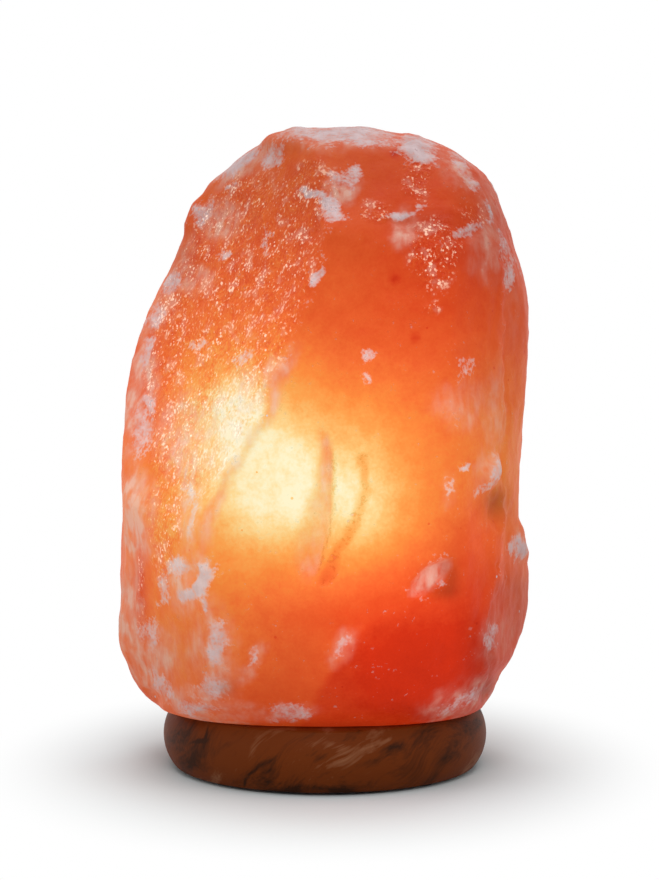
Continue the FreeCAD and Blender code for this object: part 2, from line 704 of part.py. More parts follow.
def holder_core():
    """Moulded core: a flange held by the cap, a rim for the screw shell and a well for the tongue."""
    flange = f"{HOLDER_INNER} - Sizes.holder_clearance"
    block = "Sizes.core_block_diameter / 2"
    blank = turned("core_blank", [
        ("0", SPIGOT_TOP), (flange, SPIGOT_TOP), (flange, FLANGE_TOP), (block, FLANGE_TOP),
        (block, CORE_TOP), (WELL_RADIUS, CORE_TOP), (WELL_RADIUS, CORE_WELL), ("0", CORE_WELL),
    ])
    tools = rivet_holes("core")
    length = "Sizes.terminal_length + 2 * Sizes.terminal_clearance"
    width = "Sizes.terminal_width + 2 * Sizes.terminal_clearance"
    for side, sign in TERMINAL_SIDES.items():
        place = (f"{sign}{TERMINAL_REACH} - ({length}) / 2", f"-({width}) / 2", SPIGOT_TOP)
        tools.append(primitive("Box", f"{side}_terminal_seat", place, Length=length, Width=width,
                               Height="Sizes.terminal_seat"))
    return cut("holder_core", blank, fuse("core_tools", *tools))


def terminal_blocks():
    """Two brass blocks under the core, each with a hole for a wire and one for its screw."""
    blocks = []
    for side, sign in TERMINAL_SIDES.items():
        across = f"{sign}{TERMINAL_REACH}"
        blank = primitive("Box", f"{side}_terminal_blank", Length="Sizes.terminal_length",
                          Width="Sizes.terminal_width", Height="Sizes.terminal_height",
                          at=(f"{across} - Sizes.terminal_length / 2", "-Sizes.terminal_width / 2",
                              TERMINAL_BOTTOM))
        wire_hole = primitive("Cylinder", f"{side}_wire_hole", Radius="Sizes.wire_hole_diameter / 2",
                              Height="Sizes.terminal_height - Sizes.terminal_seat",
                              at=(across, "Sizes.wire_hole_setback", TERMINAL_BOTTOM))
        screw_hole = primitive("Cylinder", f"{side}_terminal_screw_hole", terminal_screw_start(across),
                               Rotation(Vector(1, 0, 0), -90), Height="Sizes.terminal_screw_length",
                               Radius="Sizes.terminal_screw_diameter / 2 + Sizes.rivet_clearance")
        holes = fuse(f"{side}_terminal_holes", wire_hole, screw_hole)
        blocks.append(cut(f"{side}_terminal_block", blank, holes))
    return group("terminal_blocks", blocks)


def terminal_screw_start(across):
    """Where a terminal screw's head meets the front of its block."""
    level = f"({TERMINAL_BOTTOM} + (Sizes.terminal_height - Sizes.terminal_seat) / 2)"
    return (across, "-Sizes.terminal_width / 2", level)


def terminal_screws():
    """Slotted cheese-head screws, from the front into the terminal blocks."""
    screws = []
    inward, outward = Rotation(Vector(1, 0, 0), -90), Rotation(Vector(1, 0, 0), 90)
    head_radius = "Sizes.terminal_screw_head_diameter / 2"
    for side, sign in TERMINAL_SIDES.items():
        across, along, level = terminal_screw_start(f"{sign}{TERMINAL_REACH}")
        shank = primitive("Cylinder", f"{side}_terminal_screw_shank", (across, along, level), inward,
                          Radius="Sizes.terminal_screw_diameter / 2", Height="Sizes.terminal_screw_length")
        head = primitive("Cylinder", f"{side}_terminal_screw_head", (across, along, level), outward,
                         Radius=head_radius, Height="Sizes.terminal_screw_head_height")
        place = (f"{across} - {head_radius}", f"{along} - Sizes.terminal_screw_head_height",
                 f"{level} - Sizes.slot_width / 2")
        slot = primitive("Box", f"{side}_terminal_screw_slot", place, Width="Sizes.slot_depth",
                         Length="Sizes.terminal_screw_head_diameter", Height="Sizes.slot_width")
        blank = fuse(f"{side}_terminal_screw_blank", shank, head)
        screws.append(cut(f"{side}_terminal_screw", blank, slot))
    return group("terminal_screws", screws)


def contact_rivets():
    """Rivets through the core: one holds the tongue to its terminal, two hold the shell's rim."""
    rivets = []
    for name, (across, along, seat) in RIVETS.items():
        shank = primitive("Cylinder", f"{name}_shank", (across, along, TERMINAL_TOP),
                          Radius="Sizes.rivet_diameter / 2", Height=f"{seat} - {TERMINAL_TOP}")
        head = primitive("Cylinder", f"{name}_head", (across, along, seat),
                         Radius="Sizes.rivet_head_diameter / 2", Height="Sizes.rivet_head_height")
        rivets.append(fuse(name, shank, head))
    return group("contact_rivets", rivets)


def holder_centre_contact():
    """Bronze tongue, riveted in the core's well and bent up to meet the bulb's tip."""
    body = new_body("holder_centre_contact")
    thickness = "Sizes.tongue_thickness"
    rear = f"-({WELL_RADIUS} - Sizes.tongue_thickness)"
    bend = f"-({TONGUE_RIVET_REACH} - Sizes.rivet_head_diameter / 2)"
    crest, nose = "Sizes.tip_diameter / 6", "Sizes.tip_diameter / 2"
    strip = [
        (rear, CORE_WELL), (f"{bend} + {thickness} / 2", CORE_WELL),
        (f"{crest} + {thickness} / 2", f"{TONGUE_TOP} - {thickness}"),
        (nose, f"{TONGUE_TOP} - {thickness}"), (nose, TONGUE_TOP), (crest, TONGUE_TOP),
        (bend, f"{CORE_WELL} + {thickness}"), (rear, f"{CORE_WELL} + {thickness}"),
    ]
    pad(body, "tongue", outline(new_sketch(body, "tongue_sketch", "XZ_Plane"), strip), "Sizes.tongue_width")
    hole = new_sketch(body, "tongue_hole_sketch", "XY_Plane", lift=f"{CORE_WELL} + {thickness}")
    circle(hole, f"-{TONGUE_RIVET_REACH}", "Sizes.rivet_diameter / 2 + Sizes.rivet_clearance")
    pocket(body, "tongue_hole", hole, thickness)
    return body


def thread(inner_radius, outer_radius, inner_width, outer_width, start, turns):
    """A helical ridge of tapered section between two radii, its first turn's middle at the start level."""
    pitch = size("Sizes.thread_pitch")
    section = Part.makePolygon([
        Vector(inner_radius, 0, start - inner_width / 2), Vector(outer_radius, 0, start - outer_width / 2),
        Vector(outer_radius, 0, start + outer_width / 2), Vector(inner_radius, 0, start + inner_width / 2),
        Vector(inner_radius, 0, start - inner_width / 2),
    ])
    path = Part.makeHelix(pitch, pitch * turns, inner_radius)
    path.translate(Vector(0, 0, start))
    return Part.Wire(path.Edges).makePipeShell([section], True, True)


THREAD_ROOTING = 0.12  # how far a ridge is let into the wall that carries it
THREAD_START = f"({BULB_CAP_BOTTOM} + Sizes.thread_root_width)"


def thread_flank():
    """How much wider the bulb's ridge gets for each millimetre towards its root."""
    return size("(Sizes.thread_root_width - Sizes.thread_crest_width) / Sizes.thread_depth")


def holder_screw_shell():
    """Brass screw shell: a thin tube with a rolled thread inside and a rim riveted to the core."""
    inner, outer = size(SHELL_INNER), size(SHELL_OUTER)
    bottom, top = size(CORE_TOP), size(SHELL_TOP)
    tube = Part.makeCylinder(outer, top - bottom, Vector(0, 0, bottom))
    tube = tube.cut(Part.makeCylinder(size(WELL_RADIUS), top - bottom, Vector(0, 0, bottom)))
    rim = bottom + size("Sizes.shell_rim")
    tube = tube.cut(Part.makeCylinder(inner, top - rim, Vector(0, 0, rim)))
    pitch, clearance = size("Sizes.thread_pitch"), size("Sizes.thread_clearance")
    crest = inner - size("Sizes.thread_depth")
    # the ridge fills what the bulb's ridge leaves of each turn, less the clearance on both flanks
    bulb_width = size("Sizes.thread_root_width") - thread_flank() * (crest - size("Sizes.thread_root_radius"))
    crest_width = pitch - bulb_width - 2 * clearance
    root = inner + THREAD_ROOTING
    root_width = crest_width + thread_flank() * (root - crest)
    start = size(THREAD_START) - pitch / 2
    turns = math.floor((top - start - root_width) / pitch * 4) / 4
    shell = tube.fuse(thread(crest, root, crest_width, root_width, start, turns))
    for name, (across, along, _) in list(RIVETS.items())[1:]:
        hole = Part.makeCylinder(size("Sizes.rivet_diameter / 2 + Sizes.rivet_clearance"), rim - bottom)
        shell = shell.cut(hole.translated(Vector(size(across), size(along), bottom)))
    return shaped("holder_screw_shell", shell)


def spring_clip():
    """Steel band round the skirt with bowed leaves that bear on the wall of the crystal's bore."""
    body = new_body("spring_clip")
    inner = f"{HOLDER_OUTER} + Sizes.clip_clearance"
    outer = f"{inner} + Sizes.clip_thickness"
    bottom = f"{CAP_RIM} + Sizes.clip_band_lift"
    top = f"{bottom} + Sizes.clip_band_height"
    revolve(body, "clip_band", [(inner, bottom), (outer, bottom), (outer, top), (inner, top)])
    reach = "sqrt((Sizes.bore_diameter / 2 - Sizes.bore_clearance)^2 - (Sizes.clip_leaf_width / 2)^2)"
    sagitta = f"({reach} - ({outer}))"
    bow = f"((Sizes.clip_leaf_length / 2)^2 + {sagitta}^2) / (2 * {sagitta})"
    foot = f"{bottom} + Sizes.clip_band_height / 2"
    end = f"{foot} + Sizes.clip_leaf_length"
    strip = [(outer, foot, bow), (outer, end), (inner, end, bow, "left"), (inner, foot)]
    sketch = outline(new_sketch(body, "clip_leaf_sketch", "XZ_Plane"), strip)
    leaf = pad(body, "clip_leaf", sketch, "Sizes.clip_leaf_width")
    polar_pattern(body, "clip_leaves", [leaf], "Sizes.clip_leaf_count")
    return body


# ---------------------------------------------------------------- bulb

def bulb_tip_contact():
    """Solder button under the insulator, with its stub up the middle."""
    button, stub = "Sizes.tip_diameter / 2", "Sizes.tip_stub_diameter / 2"
    return turned("bulb_tip_contact", [
        ("0", TIP_BOTTOM), (f"{button} - Sizes.tip_height / 2", TIP_BOTTOM),
        (button, f"{TIP_BOTTOM} + Sizes.tip_height / 2"), (button, INSULATOR_BOTTOM),
        (stub, INSULATOR_BOTTOM), (stub, INSULATOR_TOP), ("0", INSULATOR_TOP),
    ])


def bulb_insulator():
    """Black glass insulator that closes the cap's lower end."""
    hole = "Sizes.tip_stub_diameter / 2 + Sizes.insulator_clearance"
    plug = f"{BULB_CAP_INNER} - Sizes.insulator_clearance"
    shoulder = f"{BULB_CAP_BOTTOM} - Sizes.insulator_clearance"
    return turned("bulb_insulator", [
        (hole, INSULATOR_BOTTOM), ("Sizes.tip_diameter / 2 + 2 * Sizes.bulb_cap_wall", INSULATOR_BOTTOM),
        (BULB_CAP_INNER, shoulder), (plug, shoulder), (plug, INSULATOR_TOP), (hole, INSULATOR_TOP),
    ])


def bulb_cap():
    """Thin metal cap with the thread rolled into it."""
    outer, inner = size("Sizes.thread_root_radius"), size(BULB_CAP_INNER)
    bottom, height = size(BULB_CAP_BOTTOM), size("Sizes.bulb_cap_height")
    tube = Part.makeCylinder(outer, height, Vector(0, 0, bottom))
    tube = tube.cut(Part.makeCylinder(inner, height, Vector(0, 0, bottom)))
    crest = outer + size("Sizes.thread_depth")
    root = outer - THREAD_ROOTING
    root_width = size("Sizes.thread_root_width") + thread_flank() * THREAD_ROOTING
    ridge = thread(root, crest, root_width, size("Sizes.thread_crest_width"), size(THREAD_START),
                   size("Sizes.thread_turns"))
    return shaped("bulb_cap", tube.fuse(ridge))


def bulb_glass():
    """Clear envelope: a neck in the cap, a bowed shoulder and a domed top."""
    body = new_body("bulb_glass")
    wall = "Sizes.bulb_wall"
    neck, belly = "Sizes.neck_diameter / 2", "Sizes.bulb_diameter / 2"
    foot = f"{BULB_CAP_TOP} - Sizes.neck_length"
    shoulder_top = f"{BULB_CAP_TOP} + Sizes.bulb_shoulder_height"
    dome = f"{BULB_TOP} - {belly}"
    shoulder = "Sizes.bulb_shoulder_radius"
    belly_inner, neck_inner = f"{belly} - {wall}", f"{neck} - {wall}"
    revolve(body, "envelope", [
        (neck, foot), (neck, BULB_CAP_TOP, shoulder), (belly, shoulder_top), (belly, dome, belly),
        ("0", BULB_TOP), ("0", f"{BULB_TOP} - {wall}", belly_inner, "left"), (belly_inner, dome),
        (belly_inner, shoulder_top, shoulder, "left"), (neck_inner, BULB_CAP_TOP), (neck_inner, foot),
    ])
    return body


STEM_BOTTOM = f"({BULB_CAP_TOP} - Sizes.neck_length)"
STEM_TOP = f"({STEM_BOTTOM} + Sizes.stem_height)"


def wire(name, points, diameter):
    """A round wire through points, with a ball at each bend."""
    radius = size(diameter) / 2
    spots = [Vector(*(size(part) for part in point)) for point in points]
    shape = None
    for start, end in zip(spots, spots[1:]):
        run = Part.makeCylinder(radius, (end - start).Length, start, end - start)
        shape = run if shape is None else shape.fuse([run, Part.makeSphere(radius, start)])
    return shaped(name, shape.removeSplitter())


def bulb_lead_wires():
    """Two wires from the cap's end up through the stem, spread apart to hold the filament."""
    wires = []
    for side, sign in TERMINAL_SIDES.items():
        near, far = f"{sign}Sizes.lead_spacing / 2", f"{sign}Sizes.lead_spread / 2"
        points = [
            (near, "0", f"{INSULATOR_TOP} + Sizes.contact_gap"),
            (near, "0", f"{STEM_TOP} + Sizes.lead_bend_height"),
            (far, "0", f"{FILAMENT_LEVEL} - Sizes.lead_post_height"),
            (far, "0", f"{FILAMENT_LEVEL} + Sizes.filament_diameter"),
        ]
        wires.append(wire(f"{side}_lead_wire", points, "Sizes.lead_diameter"))
    return group("bulb_lead_wires", wires)


def bulb_support_wire():
    """Short wire that stands in the stem's top and steadies the middle of the filament."""
    end = f"{FILAMENT_LEVEL} - Sizes.filament_diameter / 2 - Sizes.filament_gap"
    points = [("0", "0", f"{STEM_TOP} - Sizes.stem_press_height / 2"), ("0", "0", end)]
    return wire("bulb_support_wire", points, "Sizes.lead_diameter")


def bulb_filament():
    """The coiled filament, as a plain rod between the two lead wires."""
    half = "(Sizes.lead_spread / 2 - Sizes.lead_diameter / 2 - Sizes.filament_gap)"
    points = [(f"-{half}", "0", FILAMENT_LEVEL), (half, "0", FILAMENT_LEVEL)]
    return wire("bulb_filament", points, "Sizes.filament_diameter")


def bulb_stem(lead_wires, support_wire):
    """Glass stem: a flared tube in the neck, pressed shut on the wires at its top."""
    wall = "Sizes.stem_wall"
    flare = f"{STEM_BOTTOM} + Sizes.stem_foot_radius"
    press = f"{STEM_TOP} - Sizes.stem_press_height"
    inner = f"Sizes.stem_radius - {wall}"
    blank = turned("stem_blank", [
        ("0", press), ("0", STEM_TOP), (inner, STEM_TOP), ("Sizes.stem_radius", press),
        ("Sizes.stem_radius", flare), ("Sizes.stem_foot_radius", STEM_BOTTOM),
        (f"Sizes.stem_foot_radius - {wall}", STEM_BOTTOM), (inner, flare), (inner, press),
    ])
    return cut("bulb_stem", blank, fuse("stem_wires", lead_wires, support_wire))


# ---------------------------------------------------------------- build, check and write

lead_wires = bulb_lead_wires()
support_wire = bulb_support_wire()
SUBPARTS = [
    salt_crystal(), screw_anchors(), wooden_base(), base_screws(), rubber_feet(),
    cord_nipple(), cord_grip_screw(), lock_nut(), holder_cap(), holder_skirt(), holder_core(),
    terminal_blocks(), terminal_screws(), contact_rivets(), holder_centre_contact(), holder_screw_shell(),
    spring_clip(), bulb_tip_contact(), bulb_insulator(), bulb_cap(), bulb_glass(), lead_wires, support_wire,
    bulb_filament(), bulb_stem(lead_wires, support_wire),
]
doc.recompute()

for thing in doc.Objects:
    if {"Invalid", "Error"} & set(thing.State):
        raise RuntimeError(f"{thing.Label} did not build: {thing.State}")
for subpart in SUBPARTS:
    if subpart.Shape.isNull() or not subpart.Shape.isValid() or not subpart.Shape.Solids:
        raise RuntimeError(f"{subpart.Label} has no valid solid")

os.makedirs("parts", exist_ok=True)
for subpart in SUBPARTS:
    subpart.Shape.exportStep(f"parts/{subpart.Label}.step")
    print(f"{subpart.Label}: {len(subpart.Shape.Solids)} solid(s), {subpart.Shape.Volume:.1f} mm3")
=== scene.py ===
"""Looks of a salt crystal lamp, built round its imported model.

Lengths are metres, +Z is up and the front faces -Y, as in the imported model. The block of salt is remade from its
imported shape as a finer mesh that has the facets, chips, grooves and grain of a hewn and brushed block, and it glows
by how near the bulb is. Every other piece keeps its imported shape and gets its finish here.
"""

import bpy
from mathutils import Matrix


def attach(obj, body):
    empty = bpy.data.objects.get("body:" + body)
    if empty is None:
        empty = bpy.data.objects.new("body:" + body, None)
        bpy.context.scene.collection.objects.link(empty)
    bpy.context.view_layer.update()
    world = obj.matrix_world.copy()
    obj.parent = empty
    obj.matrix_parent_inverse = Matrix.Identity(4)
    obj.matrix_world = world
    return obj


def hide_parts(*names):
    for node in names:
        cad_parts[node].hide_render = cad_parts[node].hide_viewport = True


bl_info = {
    "name": "Salt Crystal Lamp",
    "version": (1, 0, 0),
    "blender": (4, 5, 0),
    "location": "View3D > Sidebar > Salt Lamp",
    "description": "Dresses a salt crystal lamp: hewn rock salt lit from inside, on a turned wooden base",
    "category": "Object",
}

import math

import bmesh
import bpy
import numpy as np
from bpy.props import FloatProperty, FloatVectorProperty, IntProperty, PointerProperty
from mathutils import Vector, noise

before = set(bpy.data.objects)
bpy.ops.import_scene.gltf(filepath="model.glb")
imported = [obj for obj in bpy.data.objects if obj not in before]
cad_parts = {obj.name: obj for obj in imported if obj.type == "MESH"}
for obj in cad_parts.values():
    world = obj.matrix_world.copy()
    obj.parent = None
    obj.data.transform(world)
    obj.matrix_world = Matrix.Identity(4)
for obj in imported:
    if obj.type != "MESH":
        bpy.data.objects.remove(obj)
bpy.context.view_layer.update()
MM = 0.001


def linear(hex_colour):
    """An sRGB hex colour as linear red, green, blue and alpha."""
    channels = [int(hex_colour[start:start + 2], 16) / 255 for start in (1, 3, 5)]
    return tuple(c / 12.92 if c <= 0.04045 else ((c + 0.055) / 1.055) ** 2.4 for c in channels) + (1.0,)


# ---------- What a user would change ----------

def colour_property(name, description, hex_colour):
    return FloatVectorProperty(
        name=name, description=description, subtype="COLOR", size=4, min=0.0, max=1.0, default=linear(hex_colour))


def length_property(name, description, default, least, most):
    """A length, given here in millimetres."""
    return FloatProperty(
        name=name, description=description, subtype="DISTANCE", unit="LENGTH",
        default=default * MM, min=least * MM, max=most * MM)


def power_property(name, description, watts):
    return FloatProperty(name=name, description=description, subtype="POWER", default=watts, min=0.0)


class CrystalLook(bpy.types.PropertyGroup):
    """Sizes and colours of the block of salt."""

    mesh_size: length_property("Mesh size", "Length of the block's mesh edges", 1.4, 0.5, 5)
    ridge_rounding: IntProperty(
        name="Ridge rounding", description="How many times the brushed ridges are evened out",
        default=12, min=0, max=60)
    chip_depth: length_property("Chip depth", "Depth of the scoops left by the hammer", 0.8, 0, 4)
    grain_height: length_property("Grain height", "Height of the sugary grain on the broken faces", 0.5, 0, 2)
    glow_reach: length_property("Glow reach", "How far the bulb's light carries through the salt", 26, 5, 100)
    frost_colour: colour_property("Frost", "Bruised and powdery salt", "#d4cacf")
    veil_colour: colour_property("Veil", "Salt under a thin powder", "#d6b2a2")


class BaseLook(bpy.types.PropertyGroup):
    """Colours and figure of the wooden base."""

    heart_colour: colour_property("Heartwood", "Body of the oiled wood", "#662d0c")
    # The veins' colour also darkens the painted shade at the ends and along the foot.
    vein_and_shade_colour: colour_property("Veins", "Dark streaks of the wood", "#34190b")
    # The light streaks' colour is also that of the painted highlight at the front.
    sap_and_highlight_colour: colour_property("Light streaks", "Pale streaks of the wood", "#98684a")
    ring_spacing: length_property("Ring spacing", "Distance between two growth bands", 9, 1, 40)


class StageLook(bpy.types.PropertyGroup):
    """The camera's lens and the studio's light."""

    focal_length: FloatProperty(
        name="Focal length", description="Lens of the camera, in millimetres on a 36 mm sensor", default=144.8,
        min=20, max=400)
    sky_light: FloatProperty(
        name="Sky light", description="Level of the even light from all round", default=0.42, min=0.0, max=2.0)
    top_power: power_property("Top light", "Power of the softbox overhead", 17.0)
    front_power: power_property("Front light", "Power of the softbox above the camera", 6.0)
    side_power: power_property("Side lights", "Power of each softbox at the sides", 4.0)


# ---------- The photograph's camera, and places given by its pixels ----------

PHOTO_WIDTH, PHOTO_HEIGHT = 659, 880
SENSOR = 36.0
CAMERA_SPOT = Vector((0.0017, -1.3, 0.2773))
CAMERA_PITCH = math.radians(6.82)
LIGHTS_AIM = Vector((0.0, 0.0, 0.12))
FLOOR_RADIUS = 6.0


def in_photo(points):
    """Columns and rows of the photograph on which points of the model fall."""
    across = points[:, 0] - CAMERA_SPOT.x
    ahead = points[:, 1] - CAMERA_SPOT.y
    above = points[:, 2] - CAMERA_SPOT.z
    depth = ahead * math.cos(CAMERA_PITCH) - above * math.sin(CAMERA_PITCH)
    height = above * math.cos(CAMERA_PITCH) + ahead * math.sin(CAMERA_PITCH)
    focal = bpy.context.scene.stage_look.focal_length / SENSOR * PHOTO_HEIGHT
    return PHOTO_WIDTH / 2 + focal * across / depth, PHOTO_HEIGHT / 2 - focal * height / depth


def step(values, low, high):
    """0 below low, 1 above high and a smooth slope between. With low above high it falls."""
    share = np.clip((values - low) / (high - low), 0, 1)
    return share * share * (3 - 2 * share)


def along(column, row, path):
    """Distance in pixels from a path of photo spots, to its right where positive."""
    nearest = np.full(len(column), np.inf)
    side = np.zeros(len(column))
    for start, end in zip(path, path[1:]):
        run = math.dist(start, end)
        ahead = ((end[0] - start[0]) / run, (end[1] - start[1]) / run)
        t = np.clip((column - start[0]) * ahead[0] + (row - start[1]) * ahead[1], 0, run)
        off_x, off_y = column - start[0] - t * ahead[0], row - start[1] - t * ahead[1]
        distance = np.hypot(off_x, off_y)
        closer = distance < nearest
        nearest[closer] = distance[closer]
        side[closer] = np.sign(off_x * ahead[1] - off_y * ahead[0])[closer]
    return nearest * side


def spot(column, row, centre, half_size, turn=0.0):
    """1 at a photo spot's centre, 0 at its oval edge and below 0 beyond. turn is in degrees, clockwise."""
    c, s = math.cos(math.radians(turn)), math.sin(math.radians(turn))
    x, y = column - centre[0], row - centre[1]
    return 1 - np.hypot((x * c + y * s) / half_size[0], (y * c - x * s) / half_size[1])


# ---------- Materials ----------

# Settings that many nodes share.
COLOURS = {"data_type": "RGBA"}
TINT = {"data_type": "RGBA", "blend_type": "MULTIPLY"}
SMOOTH = {"interpolation_type": "SMOOTHSTEP"}


def join(tree, node, inputs):
    """Sets or links a node's sockets: those in use, in order, or by name.

    Each input is a value, a node whose first output in use is meant, or an output. None leaves a socket as it is.
    """
    in_use = [socket for socket in node.inputs if socket.enabled]
    for name, value in (inputs.items() if isinstance(inputs, dict) else enumerate(inputs)):
        socket = in_use[name] if isinstance(name, int) else node.inputs[name]
        if isinstance(value, bpy.types.Node):
            value = next(output for output in value.outputs if output.enabled)
        if isinstance(value, bpy.types.NodeSocket):
            tree.links.new(value, socket)
        elif value is not None:
            socket.default_value = value


def add(tree, kind, inputs=(), **settings):
    """Adds a shader node with its settings and links, and returns it. stops are a Color Ramp's places and colours."""
    node = tree.nodes.new("ShaderNode" + kind)
    for count, (place, colour) in enumerate(settings.pop("stops", ())):
        elements = node.color_ramp.elements
        element = elements[count] if count < 2 else elements.new(place)
        element.position, element.color = place, colour
    for name, value in settings.items():
        setattr(node, name, value)
    join(tree, node, inputs)
    return node


def new_material(name, **inputs):
    """A material with a Principled shader. inputs are the shader's sockets, with _ for a space."""
    material = bpy.data.materials.new(name)
    material.use_nodes = True
    tree = material.node_tree
    tree.nodes.clear()
    shader = add(tree, "BsdfPrincipled", {key.replace("_", " "): value for key, value in inputs.items()})
    add(tree, "OutputMaterial", {"Surface": shader})
    return material, tree, shader


# How a colour of lit salt is made up: the salt's own colour under the studio's light, which is LIGHT_LEVEL on an
# upright face, and the light from inside. Columns: glow, colour as lit, the salt's own colour.
LIGHT_LEVEL = 0.95
GLOW_STEPS = (
    (0.00, "#c0280a", "#8f1d07"),
    (0.12, "#cc2d0c", "#98220a"),
    (0.24, "#dc3f18", "#a02c10"),
    (0.36, "#e54e20", "#a63a18"),
    (0.48, "#ef602a", "#a8421f"),
    (0.58, "#f97534", "#a84624"),
    (0.68, "#fd8c3d", "#a84a28"),
    (0.77, "#fda450", "#a84e2c"),
    (0.85, "#fdc070", "#a85230"),
    (0.92, "#fdd894", "#a85634"),
    (0.97, "#fde9b8", "#a85a38"),
    (1.00, "#fdf0c8", "#a85e3c"),
)
SALT_FIELDS = ("glow", "bright", "frost", "haze", "sugar", "pits")


def rock_salt(look):
    """Rock salt, hewn and wire-brushed: clear orange body, powdery where it is bruised, sugary where it broke. Its
    glow, glints, light and shade are painted in.
    """
    material, tree, shader = new_material(
        "rock_salt_hewn", IOR=1.544, Specular_IOR_Level=0.06, Emission_Strength=1.0)
    place = add(tree, "TexCoord").outputs["Object"]
    glow, bright, frost, haze, sugar, pits = (
        add(tree, "Attribute", attribute_name=name).outputs["Fac"] for name in SALT_FIELDS)

    # Clouded layers inside the block, the mottle of its skin, brushed dust (real grit 0.2 mm, drawn coarser to show)
    # and how the crystals bunch. Then the cubes of a broken face and the streaks that the brush left.
    cloud, mottle, powder, bunch = (
        add(tree, "TexNoise", {"Vector": place, "Scale": 1 / (size * MM), "Detail": detail})
        for size, detail in ((26, 3.0), (5, 5.0), (1.2, 3.0), (7, 3.0)))
    slanted, drawn = (
        add(tree, "Mapping", {"Vector": place, "Rotation": (0, math.radians(lean), 0), "Scale": (1.0, 1.0, stretch)})
        for lean, stretch in ((30, 0.75), (6, 0.35)))
    cubes = add(tree, "TexNoise", {"Vector": slanted, "Scale": 1 / (1.0 * MM), "Detail": 1.5})
    streaks = add(tree, "TexNoise", {"Vector": drawn, "Scale": 1 / (3.0 * MM), "Detail": 4.0})
    lumps, dust, bunched, grain = (
        add(tree, "Math", (pattern, 0.5), operation="SUBTRACT") for pattern in (mottle, powder, bunch, cubes))

    # Pits where the salt cracked: the stored field, eaten away by the lumps and the dust.
    pit = pits
    for part, weight in ((lumps, 1.8), (dust, 2.0)):
        pit = add(tree, "Math", (part, weight, pit), operation="MULTIPLY_ADD")
    pit = add(tree, "MapRange", (pit, 0.35, 1.10), **SMOOTH)
    # Painted glints: cubes that catch the light, and round grains of many sizes among them, drawn as pale specks.
    spark = add(tree, "Math", (bunched, 0.45, cubes), operation="MULTIPLY_ADD")
    spark = add(tree, "MapRange", (spark, 0.60, 0.70, 0.0, 0.75), **SMOOTH)
    grains = add(tree, "TexVoronoi", {"Vector": place, "Scale": 1 / (1.5 * MM)})
    picked = add(tree, "SeparateColor", (grains.outputs["Color"],))
    picked = add(tree, "Math", (bunched, 1.6, picked), operation="MULTIPLY_ADD")
    picked = add(tree, "MapRange", (picked, 0.50, 1.10, 0.0, 0.46))
    dot = add(tree, "Math", (picked, grains.outputs["Distance"]), operation="SUBTRACT")
    dot = add(tree, "MapRange", (dot, 0.0, 0.12), **SMOOTH)
    spark = add(tree, "Math", (spark, dot), operation="MAXIMUM")
    spark = add(tree, "Math", (spark, sugar), operation="MULTIPLY")
    # Specks of clay, dark in some cells, and crumbs of white salt in others.
    specks = add(tree, "TexVoronoi", {"Vector": place, "Scale": 1 / (6 * MM)})
    chance = add(tree, "SeparateColor", (specks.outputs["Color"],)).outputs
    near = add(tree, "Math", (specks.outputs["Distance"], 0.085), operation="LESS_THAN")
    clay, crumb = (
        add(tree, "Math", (add(tree, "Math", (chance[channel], share), operation="LESS_THAN"), near),
            operation="MULTIPLY")
        for channel, share in ((0, 0.14), (1, 0.10)))

    # The level of light, which sets the colour.
    uneven = add(tree, "Math", (sugar, 0.20, 0.15), operation="MULTIPLY_ADD")
    grain = add(tree, "Math", (grain, sugar), operation="MULTIPLY")
    level = glow
    for part, weight in ((cloud, 0.14), (lumps, uneven), (dust, 0.10), (grain, 0.40), (pit, -0.11), (clay, -0.12)):
        level = add(tree, "Math", (part, weight, level), operation="MULTIPLY_ADD")
    level = add(tree, "Math", (level, 0.07), operation="SUBTRACT", use_clamp=True)
    salt_stops = [(stop, linear(seen), linear(salt)) for stop, seen, salt in GLOW_STEPS]
    own = add(tree, "ValToRGB", (level,), stops=[(stop, salt) for stop, _, salt in salt_stops])
    lit = add(tree, "ValToRGB", (level,), stops=[
        (stop, tuple(max(s - LIGHT_LEVEL * c, 0) for s, c in zip(seen[:3], salt[:3])) + (1.0,))
        for stop, seen, salt in salt_stops])

    # Frosted patches and crumbs, and thin veils drawn out by the brush.
    frosted = frost
    for part, weight in ((lumps, 1.2), (dust, 1.4)):
        frosted = add(tree, "Math", (part, weight, frosted), operation="MULTIPLY_ADD")
    frosted = add(tree, "MapRange", (frosted, 0.36, 1.15, 0.0, 0.92))
    drift = add(tree, "MapRange", (streaks, 0.32, 0.68, 0.35, 1.55))
    veil = add(tree, "Math", (haze, drift), operation="MULTIPLY")
    bruise = add(tree, "MapRange", (bunch, 0.52, 0.68, 0.0, 0.40), **SMOOTH)
    veil = add(tree, "Math", (bruise, sugar, veil), operation="MULTIPLY_ADD")
    white = add(tree, "Math", (frosted, crumb), operation="MAXIMUM", use_clamp=True)
    pale = add(tree, "Math", (white, veil), operation="MAXIMUM", use_clamp=True)

    caked = add(tree, "MapRange", (mottle, 0.35, 0.65, 0.78, 1.06))
    frost_own = add(tree, "Mix", (1.0, tuple(look.frost_colour), caked), **TINT)
    own = add(tree, "Mix", (pale, own, tuple(look.veil_colour)), **COLOURS)
    own = add(tree, "Mix", (white, own, frost_own), **COLOURS)
    through = add(tree, "Mix", (0.5, lit, linear("#3c2414")), **COLOURS)
    lit = add(tree, "Mix", (pale, lit, through), **COLOURS)
    dim = add(tree, "Math", (white, 0.5), operation="MULTIPLY")
    lit = add(tree, "Mix", (dim, lit, linear("#42322e")), **COLOURS)
    # Painted glints: pale specks mixed into the light from inside.
    shine = add(tree, "Math", (spark, 0.9), operation="MULTIPLY")
    lit = add(tree, "Mix", (shine, lit, linear("#ffdcc0")), **COLOURS)
    # Painted light and shade: both colours are scaled by the stored brightness.
    own, lit = (add(tree, "Mix", (1.0, colour, bright), **TINT) for colour in (own, lit))

